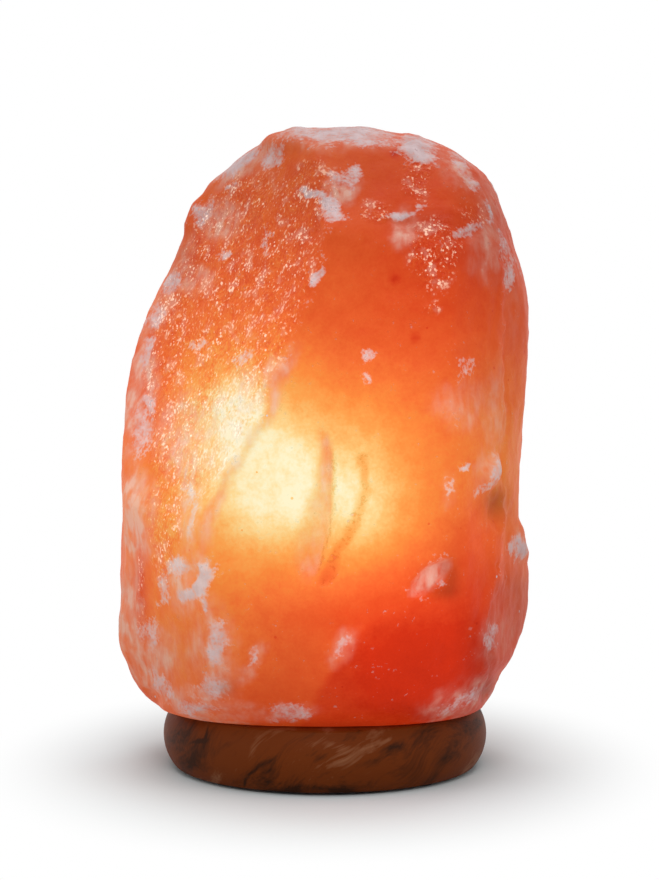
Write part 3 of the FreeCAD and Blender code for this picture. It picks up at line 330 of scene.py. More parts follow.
    rough = add(tree, "Math", (pale, 0.35, 0.45), operation="MULTIPLY_ADD")
    rough = add(tree, "Math", (sugar, -0.2, rough), operation="MULTIPLY_ADD")
    relief = add(tree, "Math", (cubes, sugar), operation="MULTIPLY")
    for part, weight in ((mottle, 0.5), (powder, 0.12), (pit, -0.9)):
        relief = add(tree, "Math", (part, weight, relief), operation="MULTIPLY_ADD")
    bump = add(tree, "Bump", {"Height": relief, "Distance": 1.2 * MM, "Strength": 0.7})
    join(tree, shader, {"Base Color": own, "Emission Color": lit, "Roughness": rough, "Normal": bump})
    material.cycles.emission_sampling = "NONE"
    return material


# Figure of the base's wood, with a painted highlight and painted shade among its marks. Growth bands climb to the
# right on the front. Marks are centre in mm, half size across, deep and up in mm, turn in degrees in the front's plane
# and strength: below 0 is darker, above 0 lighter.
BAND_RISE = math.radians(36)
WOOD_MARKS = (
    ((2, -60, 12), (40, 14, 1.2), 30, 0.34),     # pale line up to the right
    ((-10, -59, 9), (19, 16, 7), 20, 0.35),
    ((2, -60, 18), (15, 14, 5), 2, 0.6),        # painted highlight at the front
    ((14, -58, 12), (24, 14, 4.4), 26, -0.6),     # smoky streak below it
    ((13, -58, 17), (14, 14, 5), 28, -0.45),
    ((26, -54, 18), (8, 14, 2.4), 12, -0.6),
    ((2, -60, 7), (9, 14, 1.8), 24, -0.4),
    ((47, -37, 12), (9, 16, 4.5), 10, -0.4),
    ((-42, -43, 19), (8, 14, 1.1), 58, -0.65),  # two bent veins at the left
    ((-47, -37, 15), (7, 14, 1.0), 8, -0.55),
    ((-25, -54, 12), (8, 14, 1.1), 34, -0.5),
    ((-29, -52, 6), (6, 14, 1.0), 80, -0.6),
    # painted shade on the left and right ends, which turn away from the light
    ((-54, -26, 14), (18, 34, 18), 0, -0.45),
    ((55, -22, 16), (13, 34, 18), 0, -0.5),
    ((0, -58, 0), (50, 20, 4.0), 0, -0.6),       # painted shade along the foot's edge
)


def oiled_wood(look):
    """Walnut, turned and oiled: dark veins and pale streaks that cross the disc aslant, in a soft gloss, with a
    painted highlight at the front and painted shade at the ends and along the foot.
    """
    material, tree, shader = new_material("walnut_turned_oiled", Roughness=0.50, Specular_IOR_Level=0.05)
    place = add(tree, "TexCoord").outputs["Object"]
    wander = add(tree, "TexNoise", {"Vector": place, "Scale": 1 / (38 * MM), "Detail": 2.0}).outputs["Color"]
    drift = add(tree, "VectorMath", (wander, (0.5, 0.5, 0.5)), operation="SUBTRACT")
    drift = add(tree, "VectorMath", (drift, 20 * MM), operation="SCALE")
    bent = add(tree, "VectorMath", (place, drift), operation="ADD")
    banded = add(tree, "Mapping", {"Vector": bent, "Rotation": (math.radians(20), BAND_RISE, 0)})
    ring_space = add(tree, "Mapping", {"Vector": banded, "Scale": (0.10, 0.30, 1.0)})
    rings = add(tree, "TexNoise", {"Vector": ring_space, "Scale": 1 / look.ring_spacing, "Detail": 4.0})
    pore_space = add(tree, "Mapping", {"Vector": banded, "Scale": (0.06, 0.5, 1.0)})
    # Pores, 0.2 mm wide in the real wood, drawn coarser to show.
    pores = add(tree, "TexNoise", {"Vector": pore_space, "Scale": 1 / (0.8 * MM), "Detail": 3.0})
    patchy = add(tree, "TexNoise", {"Vector": place, "Scale": 1 / (22 * MM), "Detail": 3.0})
    tone = add(tree, "Math", (pores, 0.26, rings), operation="MULTIPLY_ADD")
    tone = add(tree, "Math", (patchy, 0.45, tone), operation="MULTIPLY_ADD")
    tone = add(tree, "Math", (tone, 0.355), operation="SUBTRACT")
    for centre, half_size, turn, strength in WOOD_MARKS:
        near = add(tree, "Mapping", {
            "Vector": bent, "Location": [value * MM for value in centre], "Rotation": (0, math.radians(-turn), 0),
            "Scale": [value * MM for value in half_size]}, vector_type="TEXTURE")
        reach = add(tree, "VectorMath", (near,), operation="LENGTH").outputs["Value"]
        mark = add(tree, "MapRange", (reach, 1.0, 0.0, 0.0, 0.36 * strength), **SMOOTH)
        tone = add(tree, "Math", (tone, mark), operation="ADD")
    vein_and_shade, heart, sap_and_highlight = (tuple(colour) for colour in (look.vein_and_shade_colour, look.heart_colour, look.sap_and_highlight_colour))
    figure = add(tree, "ValToRGB", (tone,), stops=[(0.26, vein_and_shade), (0.46, heart), (0.55, heart), (0.84, sap_and_highlight)])
    bump = add(tree, "Bump", {"Height": pores, "Distance": 0.12 * MM, "Strength": 0.4})
    join(tree, shader, {"Base Color": figure, "Normal": bump})
    return material


# ---------- The block of salt ----------

# Places of the photograph, in its pixels.
MAIN_RIDGE = (
    (333, 205), (322, 262), (300, 330), (280, 372), (262, 424), (244, 447), (222, 486), (204, 525), (203, 560),
    (212, 640), (222, 705),
)
SCAR_EDGE = ((324, 424), (331, 440), (334, 470), (334, 505), (330, 535), (322, 560), (315, 580))
# Row, and how far the scar reaches to the left of its edge.
SCAR_WIDTH = ((424, 9), (450, 16), (480, 25), (510, 37), (545, 39), (565, 33), (580, 18))
CRACK = ((362, 458), (366, 490), (361, 508), (349, 533), (338, 550), (325, 580))
LEFT_RIM = ((228, 180), (197, 215), (183, 245), (165, 290), (151, 330), (144, 380), (152, 420), (151, 470), (150, 640))
RIGHT_RIDGE = ((478, 185), (492, 225), (500, 275), (499, 340), (497, 400), (493, 455), (500, 520), (497, 560))
RED_EDGE = ((385, 590), (366, 618), (346, 644), (323, 679), (305, 720))
RED_FOOT = ((415, 668), (84, 56), -0.50)  # centre, spread, strength
FOOT_FACET = ((497, 572), (490, 600), (479, 640), (484, 690))
# Centre, half size and turn.
LENS_CHIP = ((430, 578), (30, 12), -40)
LUMP, BELOW_LUMP = ((488, 474), (11, 24), 12), ((496, 512), (11, 24), 8)
CRATER, CRATER_RIM = ((193, 573), (9, 14), 0), ((194, 580), (20, 26), 5)
LEFT_STRIP, DARK_STREAK = ((165, 500), (18, 100)), ((142, 590), (5, 50))

DENTS = (  # hollows with ragged edges: centre, half size, turn, depth in mm
    ((343, 647), (6, 15), 32, 1.0),
    ((254, 658), (5, 14), 30, 0.8),
    ((366, 368), (7, 18), 0, 0.8),
    ((317, 276), (6, 11), 20, 0.8),
    ((401, 223), (20, 6), 0, 1.3),
    ((336, 205), (24, 20), 0, 0.9),
    ((463, 235), (20, 8), -25, 0.9),
)

EDGE_MOVES = (  # where the outline bulges or is cut back: centre, half size, millimetres outward
    ((505, 692), (34, 34), -2.6),
    ((132, 692), (40, 44), -1.6),
    ((120, 565), (26, 60), -1.6),
    ((524, 540), (18, 26), 1.9),
    ((190, 212), (20, 28), 2.0),
    ((412, 140), (13, 20), 0.9),
    ((142, 702), (26, 15), -1.9),
    ((502, 704), (24, 13), -1.7),
    ((283, 136), (30, 20), 2.2),
)

SUGAR_SPOTS = (  # broken faces off the left one: centre, half size, strength
    ((434, 254), (32, 44), 1.0),
    ((415, 180), (16, 26), 0.9),
    ((375, 211), (18, 16), 0.8),
    ((437, 308), (10, 7), 0.9),
    ((470, 215), (16, 14), 0.5),
    ((312, 178), (24, 24), 0.7),
)

FROST_SPOTS = (  # powdery patches with ragged edges: centre, half size, turn, strength
    ((338, 134), (68, 14), 2, 1.05),    # crown's rim
    ((273, 158), (17, 11), -30, 0.95),
    ((240, 161), (30, 9), -38, 1.05),
    ((415, 151), (26, 16), 12, 1.1),    # bump at the crown's right
    ((460, 160), (20, 10), 38, 0.6),     # right shoulder
    ((472, 182), (22, 9), 52, 0.55),
    ((206, 214), (10, 16), 30, 0.9),    # left shoulder
    ((233, 186), (10, 4), -20, 0.7),
    ((342, 178), (16, 9), -30, 0.8),    # star
    ((351, 178), (7, 15), 10, 0.8),
    ((312, 194), (18, 5), 12, 1.1),
    ((330, 203), (17, 7), 38, 1.0),
    ((336, 214), (13, 7), 5, 0.9),
    ((402, 216), (19, 5), -3, 1.2),     # ledge
    ((421, 209), (5, 9), 15, 0.5),
    ((467, 229), (18, 6), -25, 0.75),
    ((488, 217), (5, 14), -12, 0.75),
    ((502, 244), (6, 18), -12, 0.65),
    ((510, 275), (8, 22), 0, 0.75),
    ((317, 276), (7, 11), 20, 0.95),
    ((226, 254), (10, 6), 20, 0.75),
    ((269, 243), (6, 13), 0, 0.6),
    ((199, 346), (12, 9), 0, 0.6),
    ((244, 359), (13, 9), -45, 0.65),
    ((365, 358), (7, 12), 0, 0.75),
    ((367, 377), (5, 10), 0, 0.75),
    ((466, 366), (9, 14), 0, 0.65),
    ((143, 434), (13, 30), 10, 0.8),    # left side
    ((152, 405), (6, 16), -15, 0.75),
    ((148, 352), (6, 24), 12, 0.85),
    ((158, 317), (8, 18), 30, 0.9),
    ((174, 282), (9, 16), 25, 0.95),
    ((178, 566), (13, 13), 0, 0.95),    # crater
    ((165, 588), (8, 22), 10, 0.75),
    ((203, 582), (12, 22), -5, 1.2),
    ((190, 596), (14, 9), 10, 1.15),
    ((207, 607), (5, 10), 0, 1.0),
    ((188, 488), (5, 22), 0, 0.7),
    ((193, 514), (6, 30), 8, 0.7),
    ((218, 644), (12, 25), -8, 0.95),
    ((213, 690), (22, 16), 15, 0.8),
    ((150, 634), (14, 20), -20, 0.7),
    ((160, 685), (30, 10), 48, 0.75),
    ((198, 707), (26, 8), 15, 0.8),
    ((291, 712), (26, 9), 0, 0.75),
    ((434, 574), (16, 6), -40, 0.45),   # lens chip
    ((343, 647), (5, 14), 32, 0.9),
    ((254, 658), (4, 14), 30, 0.8),
    ((218, 564), (3, 9), 25, 0.8),
    ((490, 470), (7, 24), 12, 0.72),    # lump
    ((481, 488), (10, 6), -20, 0.72),
    ((449, 488), (9, 15), 10, 0.42),
    ((463, 465), (5, 5), 0, 1.0),
    ((518, 548), (9, 13), 0, 1.0),
    ((491, 637), (8, 16), 10, 0.8),
    ((462, 700), (34, 10), -20, 0.65),
)

HAZE_SPOTS = (  # soft pinkish veils: centre, half size, turn, strength
    ((168, 290), (20, 90), 24, 0.36),   # left rim
    ((140, 400), (22, 90), 6, 0.70),
    ((134, 520), (26, 70), 0, 0.85),
    ((126, 610), (22, 70), -4, 0.75),
    ((152, 664), (44, 52), 35, 0.55),
    ((190, 582), (28, 44), 5, 0.62),
    ((214, 655), (32, 72), -8, 0.55),
    ((190, 505), (14, 64), 3, 0.62),
    ((205, 706), (76, 24), 20, 0.55),
    ((285, 712), (44, 12), 0, 0.35),
    ((245, 165), (56, 16), -38, 0.55),  # crown
    ((335, 138), (90, 20), 2, 0.45),
    ((448, 168), (56, 22), 40, 0.20),
    ((465, 172), (34, 11), 50, 0.65),
    ((492, 205), (20, 40), -25, 0.30),
    ((404, 229), (20, 27), 0, 0.60),    # wedge below the ledge
    ((341, 189), (22, 19), -20, 0.80),
    ((218, 222), (30, 28), 0, 0.55),
    ((484, 252), (22, 46), -8, 0.42),   # right ridge
    ((512, 300), (12, 90), 0, 0.10),
    ((462, 405), (40, 34), 0, 0.30),
    ((495, 420), (14, 80), 0, 0.30),
    ((449, 495), (12, 30), 10, 0.20),
    ((275, 374), (16, 26), 15, 0.60),
    ((236, 408), (32, 54), 25, 0.65),
    ((190, 440), (46, 62), 0, 0.58),
    ((228, 455), (20, 30), 45, 0.35),
    ((520, 545), (10, 26), 0, 0.30),
    ((497, 640), (24, 44), 20, 0.24),
    ((462, 700), (60, 24), -22, 0.45),
    ((242, 420), (15, 34), 20, 0.75),
    ((198, 280), (24, 18), 0, 0.42),
    ((482, 470), (14, 30), 10, 0.35),
    ((343, 648), (14, 30), 32, 0.35),
    ((254, 664), (10, 32), 30, 0.35),
)

GLOW_LEVEL = 0.50
GLOW_SPOTS = (  # light from inside: centre, spread across and down, strength
    ((282, 482), (80, 80), 0.40),
    ((275, 475), (38, 40), 0.10),
    ((366, 480), (28, 50), 0.12),
    ((205, 415), (56, 66), 0.13),
    ((240, 405), (18, 30), 0.12),
    ((150, 520), (32, 80), 0.05),
    ((150, 405), (22, 42), -0.14),
    ((372, 530), (35, 32), 0.10),
    ((440, 440), (60, 70), 0.10),
    ((505, 450), (22, 90), 0.10),
    ((290, 165), (110, 30), 0.04),
    ((385, 180), (36, 26), -0.06),
    ((380, 328), (44, 22), -0.05),
    ((450, 260), (75, 90), -0.17),
    ((480, 575), (22, 50), -0.14),
    ((270, 715), (60, 20), -0.08),
    ((185, 640), (40, 50), 0.09),
    ((141, 580), (6, 34), -0.13),      # dark streak
    ((505, 640), (20, 40), 0.12),
    ((394, 154), (2.5, 2.5), -0.35),  # red specks
    ((395, 279), (3.5, 3.5), -0.25),
    ((415, 338), (3, 3), -0.2),
)

BRIGHT_LEVEL = 0.68
BRIGHT_SPOTS = (  # painted light and shade on the salt: centre, spread across and down, strength
    ((280, 470), (150, 130), 0.36),
    ((415, 650), (60, 66), 0.44),
    ((150, 400), (50, 110), 0.02),
    ((330, 300), (120, 60), 0.06),
    ((330, 170), (150, 50), -0.11),
    ((430, 370), (60, 130), 0.14),
    ((480, 235), (20, 38), -0.12),
    ((422, 222), (22, 9), -0.14),
    ((180, 255), (14, 32), -0.11),
    ((420, 655), (38, 30), 0.13),
    ((480, 660), (13, 32), -0.24),
    ((435, 714), (44, 8), -0.22),
    ((482, 540), (14, 20), 0.11),
    ((185, 655), (40, 34), -0.07),
    ((518, 600), (12, 50), -0.08),
    ((483, 390), (18, 30), -0.08),
    ((335, 595), (60, 40), 0.08),
    ((520, 400), (28, 260), -0.12),
    ((496, 501), (9, 12), -0.32),    # shade below the lump
    ((451, 577), (6, 12), -0.34),    # shade in the lens chip
    ((442, 592), (11, 5), -0.3),
    ((226, 688), (7, 6), -0.12),
    ((484, 690), (16, 8), -0.15),
)
BULB_CENTRE = (0.0, 0.0, 96 * MM)
NEAR_BULB = 52 * MM  # the light is at its full level up to here
# Off the front: the level far from the bulb, and what the bulb adds to it.
SIDE_GLOW, SIDE_BRIGHT = (0.30, 0.55), (0.64, 0.38)

# The bore's wall lies within the first two, and the block's outside beyond the others: radius or height.
BORE_RADIUS, BORE_TOP = 24 * MM, 143 * MM
SKIN_RADIUS, SKIN_HEIGHT = 45 * MM, 145 * MM


def fractal(points, lump, octaves=3, offset=0.0):
    """Smooth noise round 0 on points, whose lumps are lump metres across."""
    shift = Vector((offset, 1.7 * offset, -offset))
    return np.array([noise.fractal(Vector(point) / lump + shift, 0.7, 2.1, octaves) for point in points])


def scoops(points, size, offset=0.0):
    """Shallow scoops that meet in ridges: 0 at a scoop's middle, 1 on the ridges."""
    shift = Vector((offset, -offset, offset))
    found = [noise.voronoi(Vector(point) / size + shift)[0] for point in points]
    return np.array([min(d[0] * 1.5, 1.0) for d in found])


class Surface:
    """The block's vertices as arrays, with what its neighbours give."""

    def __init__(self, mesh):
        self.mesh = mesh
        self.count = len(mesh.vertices)
        self.points = self.read(mesh.vertices, "co")
        edges = np.empty(len(mesh.edges) * 2, np.int32)
        mesh.edges.foreach_get("vertices", edges)
        self.edges = edges.reshape(-1, 2)
        self.valence = np.bincount(edges, minlength=self.count).astype(float)

    def read(self, items, name):
        """A vector of each item, as rows."""
        values = np.empty(len(items) * 3, np.float32)
        items.foreach_get(name, values)
        return values.reshape(-1, 3).astype(float)

    def evened(self, values, times):
        """Values, each moved to the mean of its neighbours' and its own, several times."""
        one, two = self.edges.T
        flat = values.reshape(self.count, -1).astype(float)
        for _ in range(times):
            total = np.stack([
                np.bincount(one, column[two], self.count) + np.bincount(two, column[one], self.count)
                for column in flat.T
            ], axis=1)
            flat = 0.5 * flat + 0.5 * total / self.valence[:, None]
        return flat.reshape(values.shape)

    def normals(self):
        self.mesh.vertices.foreach_set("co", self.points.astype(np.float32).ravel())
        self.mesh.update()
        return self.read(self.mesh.vertex_normals, "vector")

    def keep(self, name, values):
        attribute = self.mesh.attributes.new(name, "FLOAT", "POINT")
        attribute.data.foreach_set("value", values.astype(np.float32))


def fine_block(look):
    """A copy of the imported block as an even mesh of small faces."""
    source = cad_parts["salt_crystal"]
    welded = bmesh.new()
    welded.from_mesh(source.data)
    bmesh.ops.remove_doubles(welded, verts=welded.verts, dist=1e-6)
    mesh = bpy.data.meshes.new("salt_block")
    welded.to_mesh(mesh)
    welded.free()
    piece = bpy.data.objects.new("salt_block", mesh)
    bpy.context.scene.collection.objects.link(piece)
    fine = piece.modifiers.new("fine", "REMESH")
    fine.mode = "VOXEL"
    fine.voxel_size = look.mesh_size
    fine.use_smooth_shade = True
    bpy.context.view_layer.update()
    piece.data = bpy.data.meshes.new_from_object(piece.evaluated_get(bpy.context.evaluated_depsgraph_get()))
    piece.modifiers.clear()
    piece.data.materials.clear()
    return piece


def carve(surface, look):
    """Moves the block's outside to the shape of the real one, and stores the fields of its finish."""
    points = surface.points
    radius = np.hypot(points[:, 0], points[:, 1])
    low = points[:, 2].min()
    in_bore = (radius < BORE_RADIUS) & (points[:, 2] < BORE_TOP)
    outside = np.where((radius > SKIN_RADIUS) | (points[:, 2] > SKIN_HEIGHT), 1.0, 0.0)
    outside *= step(points[:, 2], low + 0.2 * MM, low + 3 * MM)

    smooth = surface.evened(points, look.ridge_rounding)
    surface.points = points + (smooth - points) * outside[:, None]
    points = surface.points
    out = surface.evened(surface.normals(), 4)
    out /= np.linalg.norm(out, axis=1)[:, None]

    column, row = in_photo(points)
    to_camera = np.array(CAMERA_SPOT) - points
    facing = (out * to_camera).sum(1) / np.linalg.norm(to_camera, axis=1)
    front = step(facing, -0.15, 0.08)
    wander = fractal(points, 9 * MM, 3, 3.1)
    ragged_column = column + 6 * wander
    ragged_row = row + 6 * fractal(points, 9 * MM, 3, 8.7)

    def ovals(spots, low, high):
        """The strongest of some ovals at each vertex, each 0 at low and its strength at high."""
        found = np.zeros(surface.count)
        for centre, half_size, turn, strength in spots:
            within = step(spot(ragged_column, ragged_row, centre, half_size, turn), low, high)
            found = np.maximum(found, strength * within)
        return found

    def lobes(level, spots):
        """A level with soft lobes added to it."""
        return level + sum(
            strength * np.exp(-0.5 * (((column - centre[0]) / spread[0]) ** 2 + ((row - centre[1]) / spread[1]) ** 2))
            for centre, spread, strength in spots)

    # Sugary, broken faces: left of the main ridge, patches at the right of the crown, and others by chance.
    ridge_off = along(ragged_column, row, MAIN_RIDGE)
    left_face = step(-ridge_off, 0, 10) * step(row, 520, 470) * step(row, 160, 190)
    rim_off = along(ragged_column, row, LEFT_RIM)
    left_face *= step(rim_off, -2, 6)
    left_face *= 0.55 + 0.45 * step(wander + 0.5 * fractal(points, 16 * MM, 2, 6.3), -0.25, 0.25)
    left_strip = 0.8 * step(spot(ragged_column, ragged_row, *LEFT_STRIP), 0.0, 0.3)
    dark_streak = 0.8 * step(spot(ragged_column, ragged_row, *DARK_STREAK), 0.0, 0.4)
    sugar = np.maximum.reduce([left_face, left_strip, dark_streak, ovals(
        [(centre, half_size, 0, strength) for centre, half_size, strength in SUGAR_SPOTS], 0.0, 0.4)])
    by_chance = fractal(points, 45 * MM, 2, 21.0)
    sugar = front * sugar + (1 - front) * 0.7 * step(by_chance, 0.05, 0.30)

    # Relief of the whole block, in metres outward.
    relief = 0.6 * look.chip_depth * (scoops(points, 24 * MM) - 0.6)
    relief += 0.9 * MM * fractal(points, 40 * MM, 2, 5.0) + 0.25 * MM * fractal(points, 7 * MM, 3, 9.0)
    relief += 0.6 * MM * (scoops(points, 12 * MM, 4.0) - 0.6)
    relief += look.grain_height * (fractal(points, 6 * MM, 2, 1.0) + 0.9 * fractal(points, 3.2 * MM, 1, 2.0)) * sugar

    # Relief of the photographed front, in millimetres.
    edge_off = along(column + 1.5 * wander, row, SCAR_EDGE)
    inward = -edge_off
    width = np.interp(row, *zip(*SCAR_WIDTH))
    ends = step(row, 422, 450) * step(row, 588, 568)
    scar = step(inward, -1, 3) * step(inward, width, width * 0.4) * ends
    crack_off = along(column + 4 * wander, row, CRACK)
    crack = step(np.abs(crack_off), 8, 2)
    lens = step(spot(0.4 * ragged_column + 0.6 * column, row, *LENS_CHIP), 0.0, 0.4)
    crater = step(spot(column, row, *CRATER), 0.0, 0.7)
    rim = np.clip(step(spot(column, row, *CRATER_RIM), 0.0, 0.4) - crater, 0, 1)
    shape = -2.4 * scar * np.clip(1 - inward / (1.2 * width), 0, 1)
    shape -= 1.1 * crack * (0.7 + 0.8 * fractal(points, 3.5 * MM, 2, 14.0))
    shape -= lens * (2.6 + 0.8 * fractal(points, 4 * MM, 2, 17.0))
    shape += 2.6 * step(spot(column, row, *LUMP), 0.0, 0.7) - 2.2 * step(spot(column, row, *BELOW_LUMP), 0.0, 0.8)
    shape += 0.5 * rim - 1.8 * crater
    for centre, half_size, turn, depth in DENTS:
        shape -= depth * step(spot(ragged_column, ragged_row, centre, half_size, turn), 0.0, 0.7)
    for centre, half_size, height in EDGE_MOVES:
        shape += height * step(spot(column, row, centre, half_size), 0.0, 0.6)
    shape += 0.8 * step(np.abs(ridge_off), 9, 1) * step(row, 215, 235) * step(row, 500, 470)
    right_off, foot_off = (along(ragged_column, row, path) for path in (RIGHT_RIDGE, FOOT_FACET))
    for path_off in (right_off, foot_off):
        shape += 0.8 * (step(np.abs(path_off), 9, 1) - 0.6 * step(np.abs(path_off - 8), 7, 1))
    surface.points = points + out * ((relief + front * MM * shape) * outside)[:, None]

    pits = np.maximum(0.80 - np.abs(edge_off) / 5, 0.0) * ends * step(row, 440, 455)
    pits = np.maximum(pits, 0.62 - np.abs(crack_off) / 14)
    facet = step(foot_off, -3, 5) * step(row, 560, 590)

    # Frost lies on the photographed patches, on ridges and, off the front, by chance.
    proud = ((surface.points - surface.evened(surface.points, 14)) * out).sum(1) / MM
    frost = ovals(FROST_SPOTS, -0.35, 0.70)
    frost = front * frost + (1 - front) * (1.4 * fractal(points, 26 * MM, 3, 33.0) - 0.05)
    frost = np.where(in_bore, 0.0, frost + 0.35 * np.clip(proud, -1, 1.2))
    haze = np.maximum(ovals(HAZE_SPOTS, 0.0, 0.75), scar * (0.22 + 0.28 * step(row, 540, 450)))
    ridge_band = step(np.abs(ridge_off - 3), 11, 0) * step(row, 335, 375) * step(row, 570, 500)
    haze = np.maximum(haze, 0.5 * ridge_band)
    haze *= 0.55 + 0.75 * step(fractal(points, 7 * MM, 3, 52.0), -0.3, 0.3)
    haze = np.maximum(haze, 0.62 * lens)
    haze = front * haze + (1 - front) * step(fractal(points, 34 * MM, 3, 40.0), 0.0, 0.5) * 0.4
    haze = np.where(in_bore, 0.0, haze)

    # Glow: by the photographed places on the front, and by distance from the bulb elsewhere.
    red_off = along(ragged_column, row, RED_EDGE)
    red = lobes(0.0, (RED_FOOT,)) * (1 - 0.7 * step(red_off, 9, -3) * step(row, 612, 645))
    glow = lobes(GLOW_LEVEL, GLOW_SPOTS) + red - scar * (0.05 + 0.13 * step(row, 540, 470))
    glow -= 0.08 * crack + 0.11 * ridge_band + 0.08 * lens
    # Painted light and shade: the brightness lobes, with painted shade on the facet by the foot and in the scar, and a
    # little less along the ridge band.
    bright = lobes(BRIGHT_LEVEL, BRIGHT_SPOTS) - 0.12 * facet - 0.05 * scar - 0.03 * ridge_band
    away = np.linalg.norm(points - np.array(BULB_CENTRE), axis=1)
    carried = np.exp(-np.clip(away - NEAR_BULB, 0, None) / look.glow_reach)
    glow = front * glow + (1 - front) * (SIDE_GLOW[0] + SIDE_GLOW[1] * carried)
    bright = front * bright + (1 - front) * (SIDE_BRIGHT[0] + SIDE_BRIGHT[1] * carried)
    glow = np.where(in_bore, 1.0, glow)
    bright = np.where(in_bore, 1.0, bright)

    surface.mesh.vertices.foreach_set("co", surface.points.astype(np.float32).ravel())
    for name, values in zip(SALT_FIELDS, (np.clip(glow, 0, 0.97), np.clip(bright, 0, 1.2), frost, haze, sugar, pits)):
        surface.keep(name, values)


class SALTLAMP_OT_crystal(bpy.types.Operator):
    """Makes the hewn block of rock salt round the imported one"""

    bl_idname = "saltlamp.crystal"
    bl_label = "Salt Crystal"

    def execute(self, context):
        look = context.scene.crystal_look
        piece = fine_block(look)
        surface = Surface(piece.data)
        carve(surface, look)
        piece.data.update()
        piece.data.materials.append(rock_salt(look))
        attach(piece, "lamp")
        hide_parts("salt_crystal")
        return {"FINISHED"}


# ---------- The other pieces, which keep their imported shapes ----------

def finish_node(name, material):
    """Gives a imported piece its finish."""
    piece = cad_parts[name]
    piece.data.materials.clear()
    piece.data.materials.append(material)


def moulded(name, colour, roughness, skin, ior=1.5):
    """A moulded plastic or rubber. Its skin has the fine texture of the mould, skin metres across, and its tone
    drifts a little where the melt flowed."""
    material, tree, shader = new_material(name, IOR=ior)
    place = add(tree, "TexCoord").outputs["Object"]
    texture = add(tree, "TexNoise", {"Vector": place, "Scale": 1 / skin, "Detail": 2.0})
    flow = add(tree, "TexNoise", {"Vector": place, "Scale": 1 / (9 * MM), "Detail": 2.0})
    tone = add(tree, "MapRange", (flow, 0.3, 0.7, 0.82, 1.12))
    tinted = add(tree, "Mix", (1.0, linear(colour), tone), **TINT)
    gloss = add(tree, "MapRange", (texture, 0.3, 0.7, roughness - 0.06, roughness + 0.06))
    bump = add(tree, "Bump", {"Height": texture, "Distance": 0.03 * MM, "Strength": 0.4})
    join(tree, shader, {"Base Color": tinted, "Roughness": gloss, "Normal": bump})
    return material


def worked_metal(name, colour, roughness, tarnish, stretch=(1.0, 1.0, 6.0)):
    """A rolled, drawn, turned or plated metal. Fine marks run round the axis, or as stretch sets them, and the bright
    colour dulls to tarnish in places."""
    material, tree, shader = new_material(name, Metallic=1.0)
    place = add(tree, "TexCoord").outputs["Object"]
    run = add(tree, "Mapping", {"Vector": place, "Scale": stretch})
    # Tool marks, 0.05 mm apart on the real metal, drawn coarser to show.
    marks = add(tree, "TexNoise", {"Vector": run, "Scale": 1 / (1.2 * MM), "Detail": 3.0})
    dulled = add(tree, "TexNoise", {"Vector": place, "Scale": 1 / (5 * MM), "Detail": 4.0})
    share = add(tree, "MapRange", (dulled, 0.45, 0.75), **SMOOTH)
    toned = add(tree, "Mix", (share, linear(colour), linear(tarnish)), **COLOURS)
    rough = add(tree, "Math", (marks, 0.16, roughness - 0.08), operation="MULTIPLY_ADD")
    rough = add(tree, "Math", (share, 0.12, rough), operation="MULTIPLY_ADD")
    bump = add(tree, "Bump", {"Height": marks, "Distance": 0.02 * MM, "Strength": 0.5})
    join(tree, shader, {"Base Color": toned, "Roughness": rough, "Normal": bump})
    return material


def blown_glass(name, colour, **inputs):
    """Soda-lime glass, blown or pressed: a faint unevenness bends what is seen in it."""
    material, tree, shader = new_material(name, IOR=1.52, Roughness=0.02, **inputs)
    place = add(tree, "TexCoord").outputs["Object"]
    uneven = add(tree, "TexNoise", {"Vector": place, "Scale": 1 / (12 * MM), "Detail": 1.0})
    tint = add(tree, "MapRange", (uneven, 0.3, 0.7, 0.97, 1.0))
    tinted = add(tree, "Mix", (1.0, linear(colour), tint), **TINT)
    bump = add(tree, "Bump", {"Height": uneven, "Distance": 0.1 * MM, "Strength": 0.2})
    join(tree, shader, {"Base Color": tinted, "Normal": bump})
    return material


def hot_tungsten():
    """Tungsten wire, drawn and coiled, at working heat: it glows pale yellow, whiter in the middle of the coil."""
    material, tree, shader = new_material(
        "tungsten_drawn_glowing", Metallic=1.0, Roughness=0.5, Base_Color=linear("#b0a08c"), Emission_Strength=6.0)
    place = add(tree, "TexCoord").outputs["Object"]
    off = add(tree, "SeparateXYZ", (place,)).outputs["X"]
    off = add(tree, "Math", (off,), operation="ABSOLUTE")
    heat = add(tree, "ValToRGB", (add(tree, "MapRange", (off, 0.0, 8 * MM)),), stops=[
        (0.0, linear("#fff0c8")), (0.7, linear("#ffd890")), (1.0, linear("#ff9a48"))])
    join(tree, shader, {"Emission Color": heat})
    material.cycles.emission_sampling = "NONE"
    return material


class SALTLAMP_OT_base(bpy.types.Operator):
    """Gives the turned base its oiled wood"""

    bl_idname = "saltlamp.base"
    bl_label = "Wooden Base"

    def execute(self, context):
        finish_node("wooden_base", oiled_wood(context.scene.base_look))
        return {"FINISHED"}


class SALTLAMP_OT_feet(bpy.types.Operator):
    """Gives the feet their moulded rubber"""

    bl_idname = "saltlamp.feet"
    bl_label = "Rubber Feet"

    def execute(self, context):
        # Nitrile rubber, moulded: matt black with a faint bloom.
        finish_node("rubber_feet", moulded("nitrile_rubber_moulded", "#1f1e1d", 0.78, 0.6 * MM))
        return {"FINISHED"}


class SALTLAMP_OT_fastenings(bpy.types.Operator):
    """Gives the plugs and screws that hold the base their nylon and zinc plating"""

    bl_idname = "saltlamp.fastenings"
    bl_label = "Plugs and Screws"

    def execute(self, context):
        # Nylon, moulded: milky and waxy.
        finish_node("screw_anchors", moulded("nylon_moulded_milky", "#d9d4c6", 0.48, 0.5 * MM, ior=1.53))
        # Zinc-plated steel: grey with a cool, slightly cloudy shine.
        finish_node("base_screws", worked_metal("steel_zinc_plated", "#b9bbbd", 0.34, "#8d8c84"))
        return {"FINISHED"}


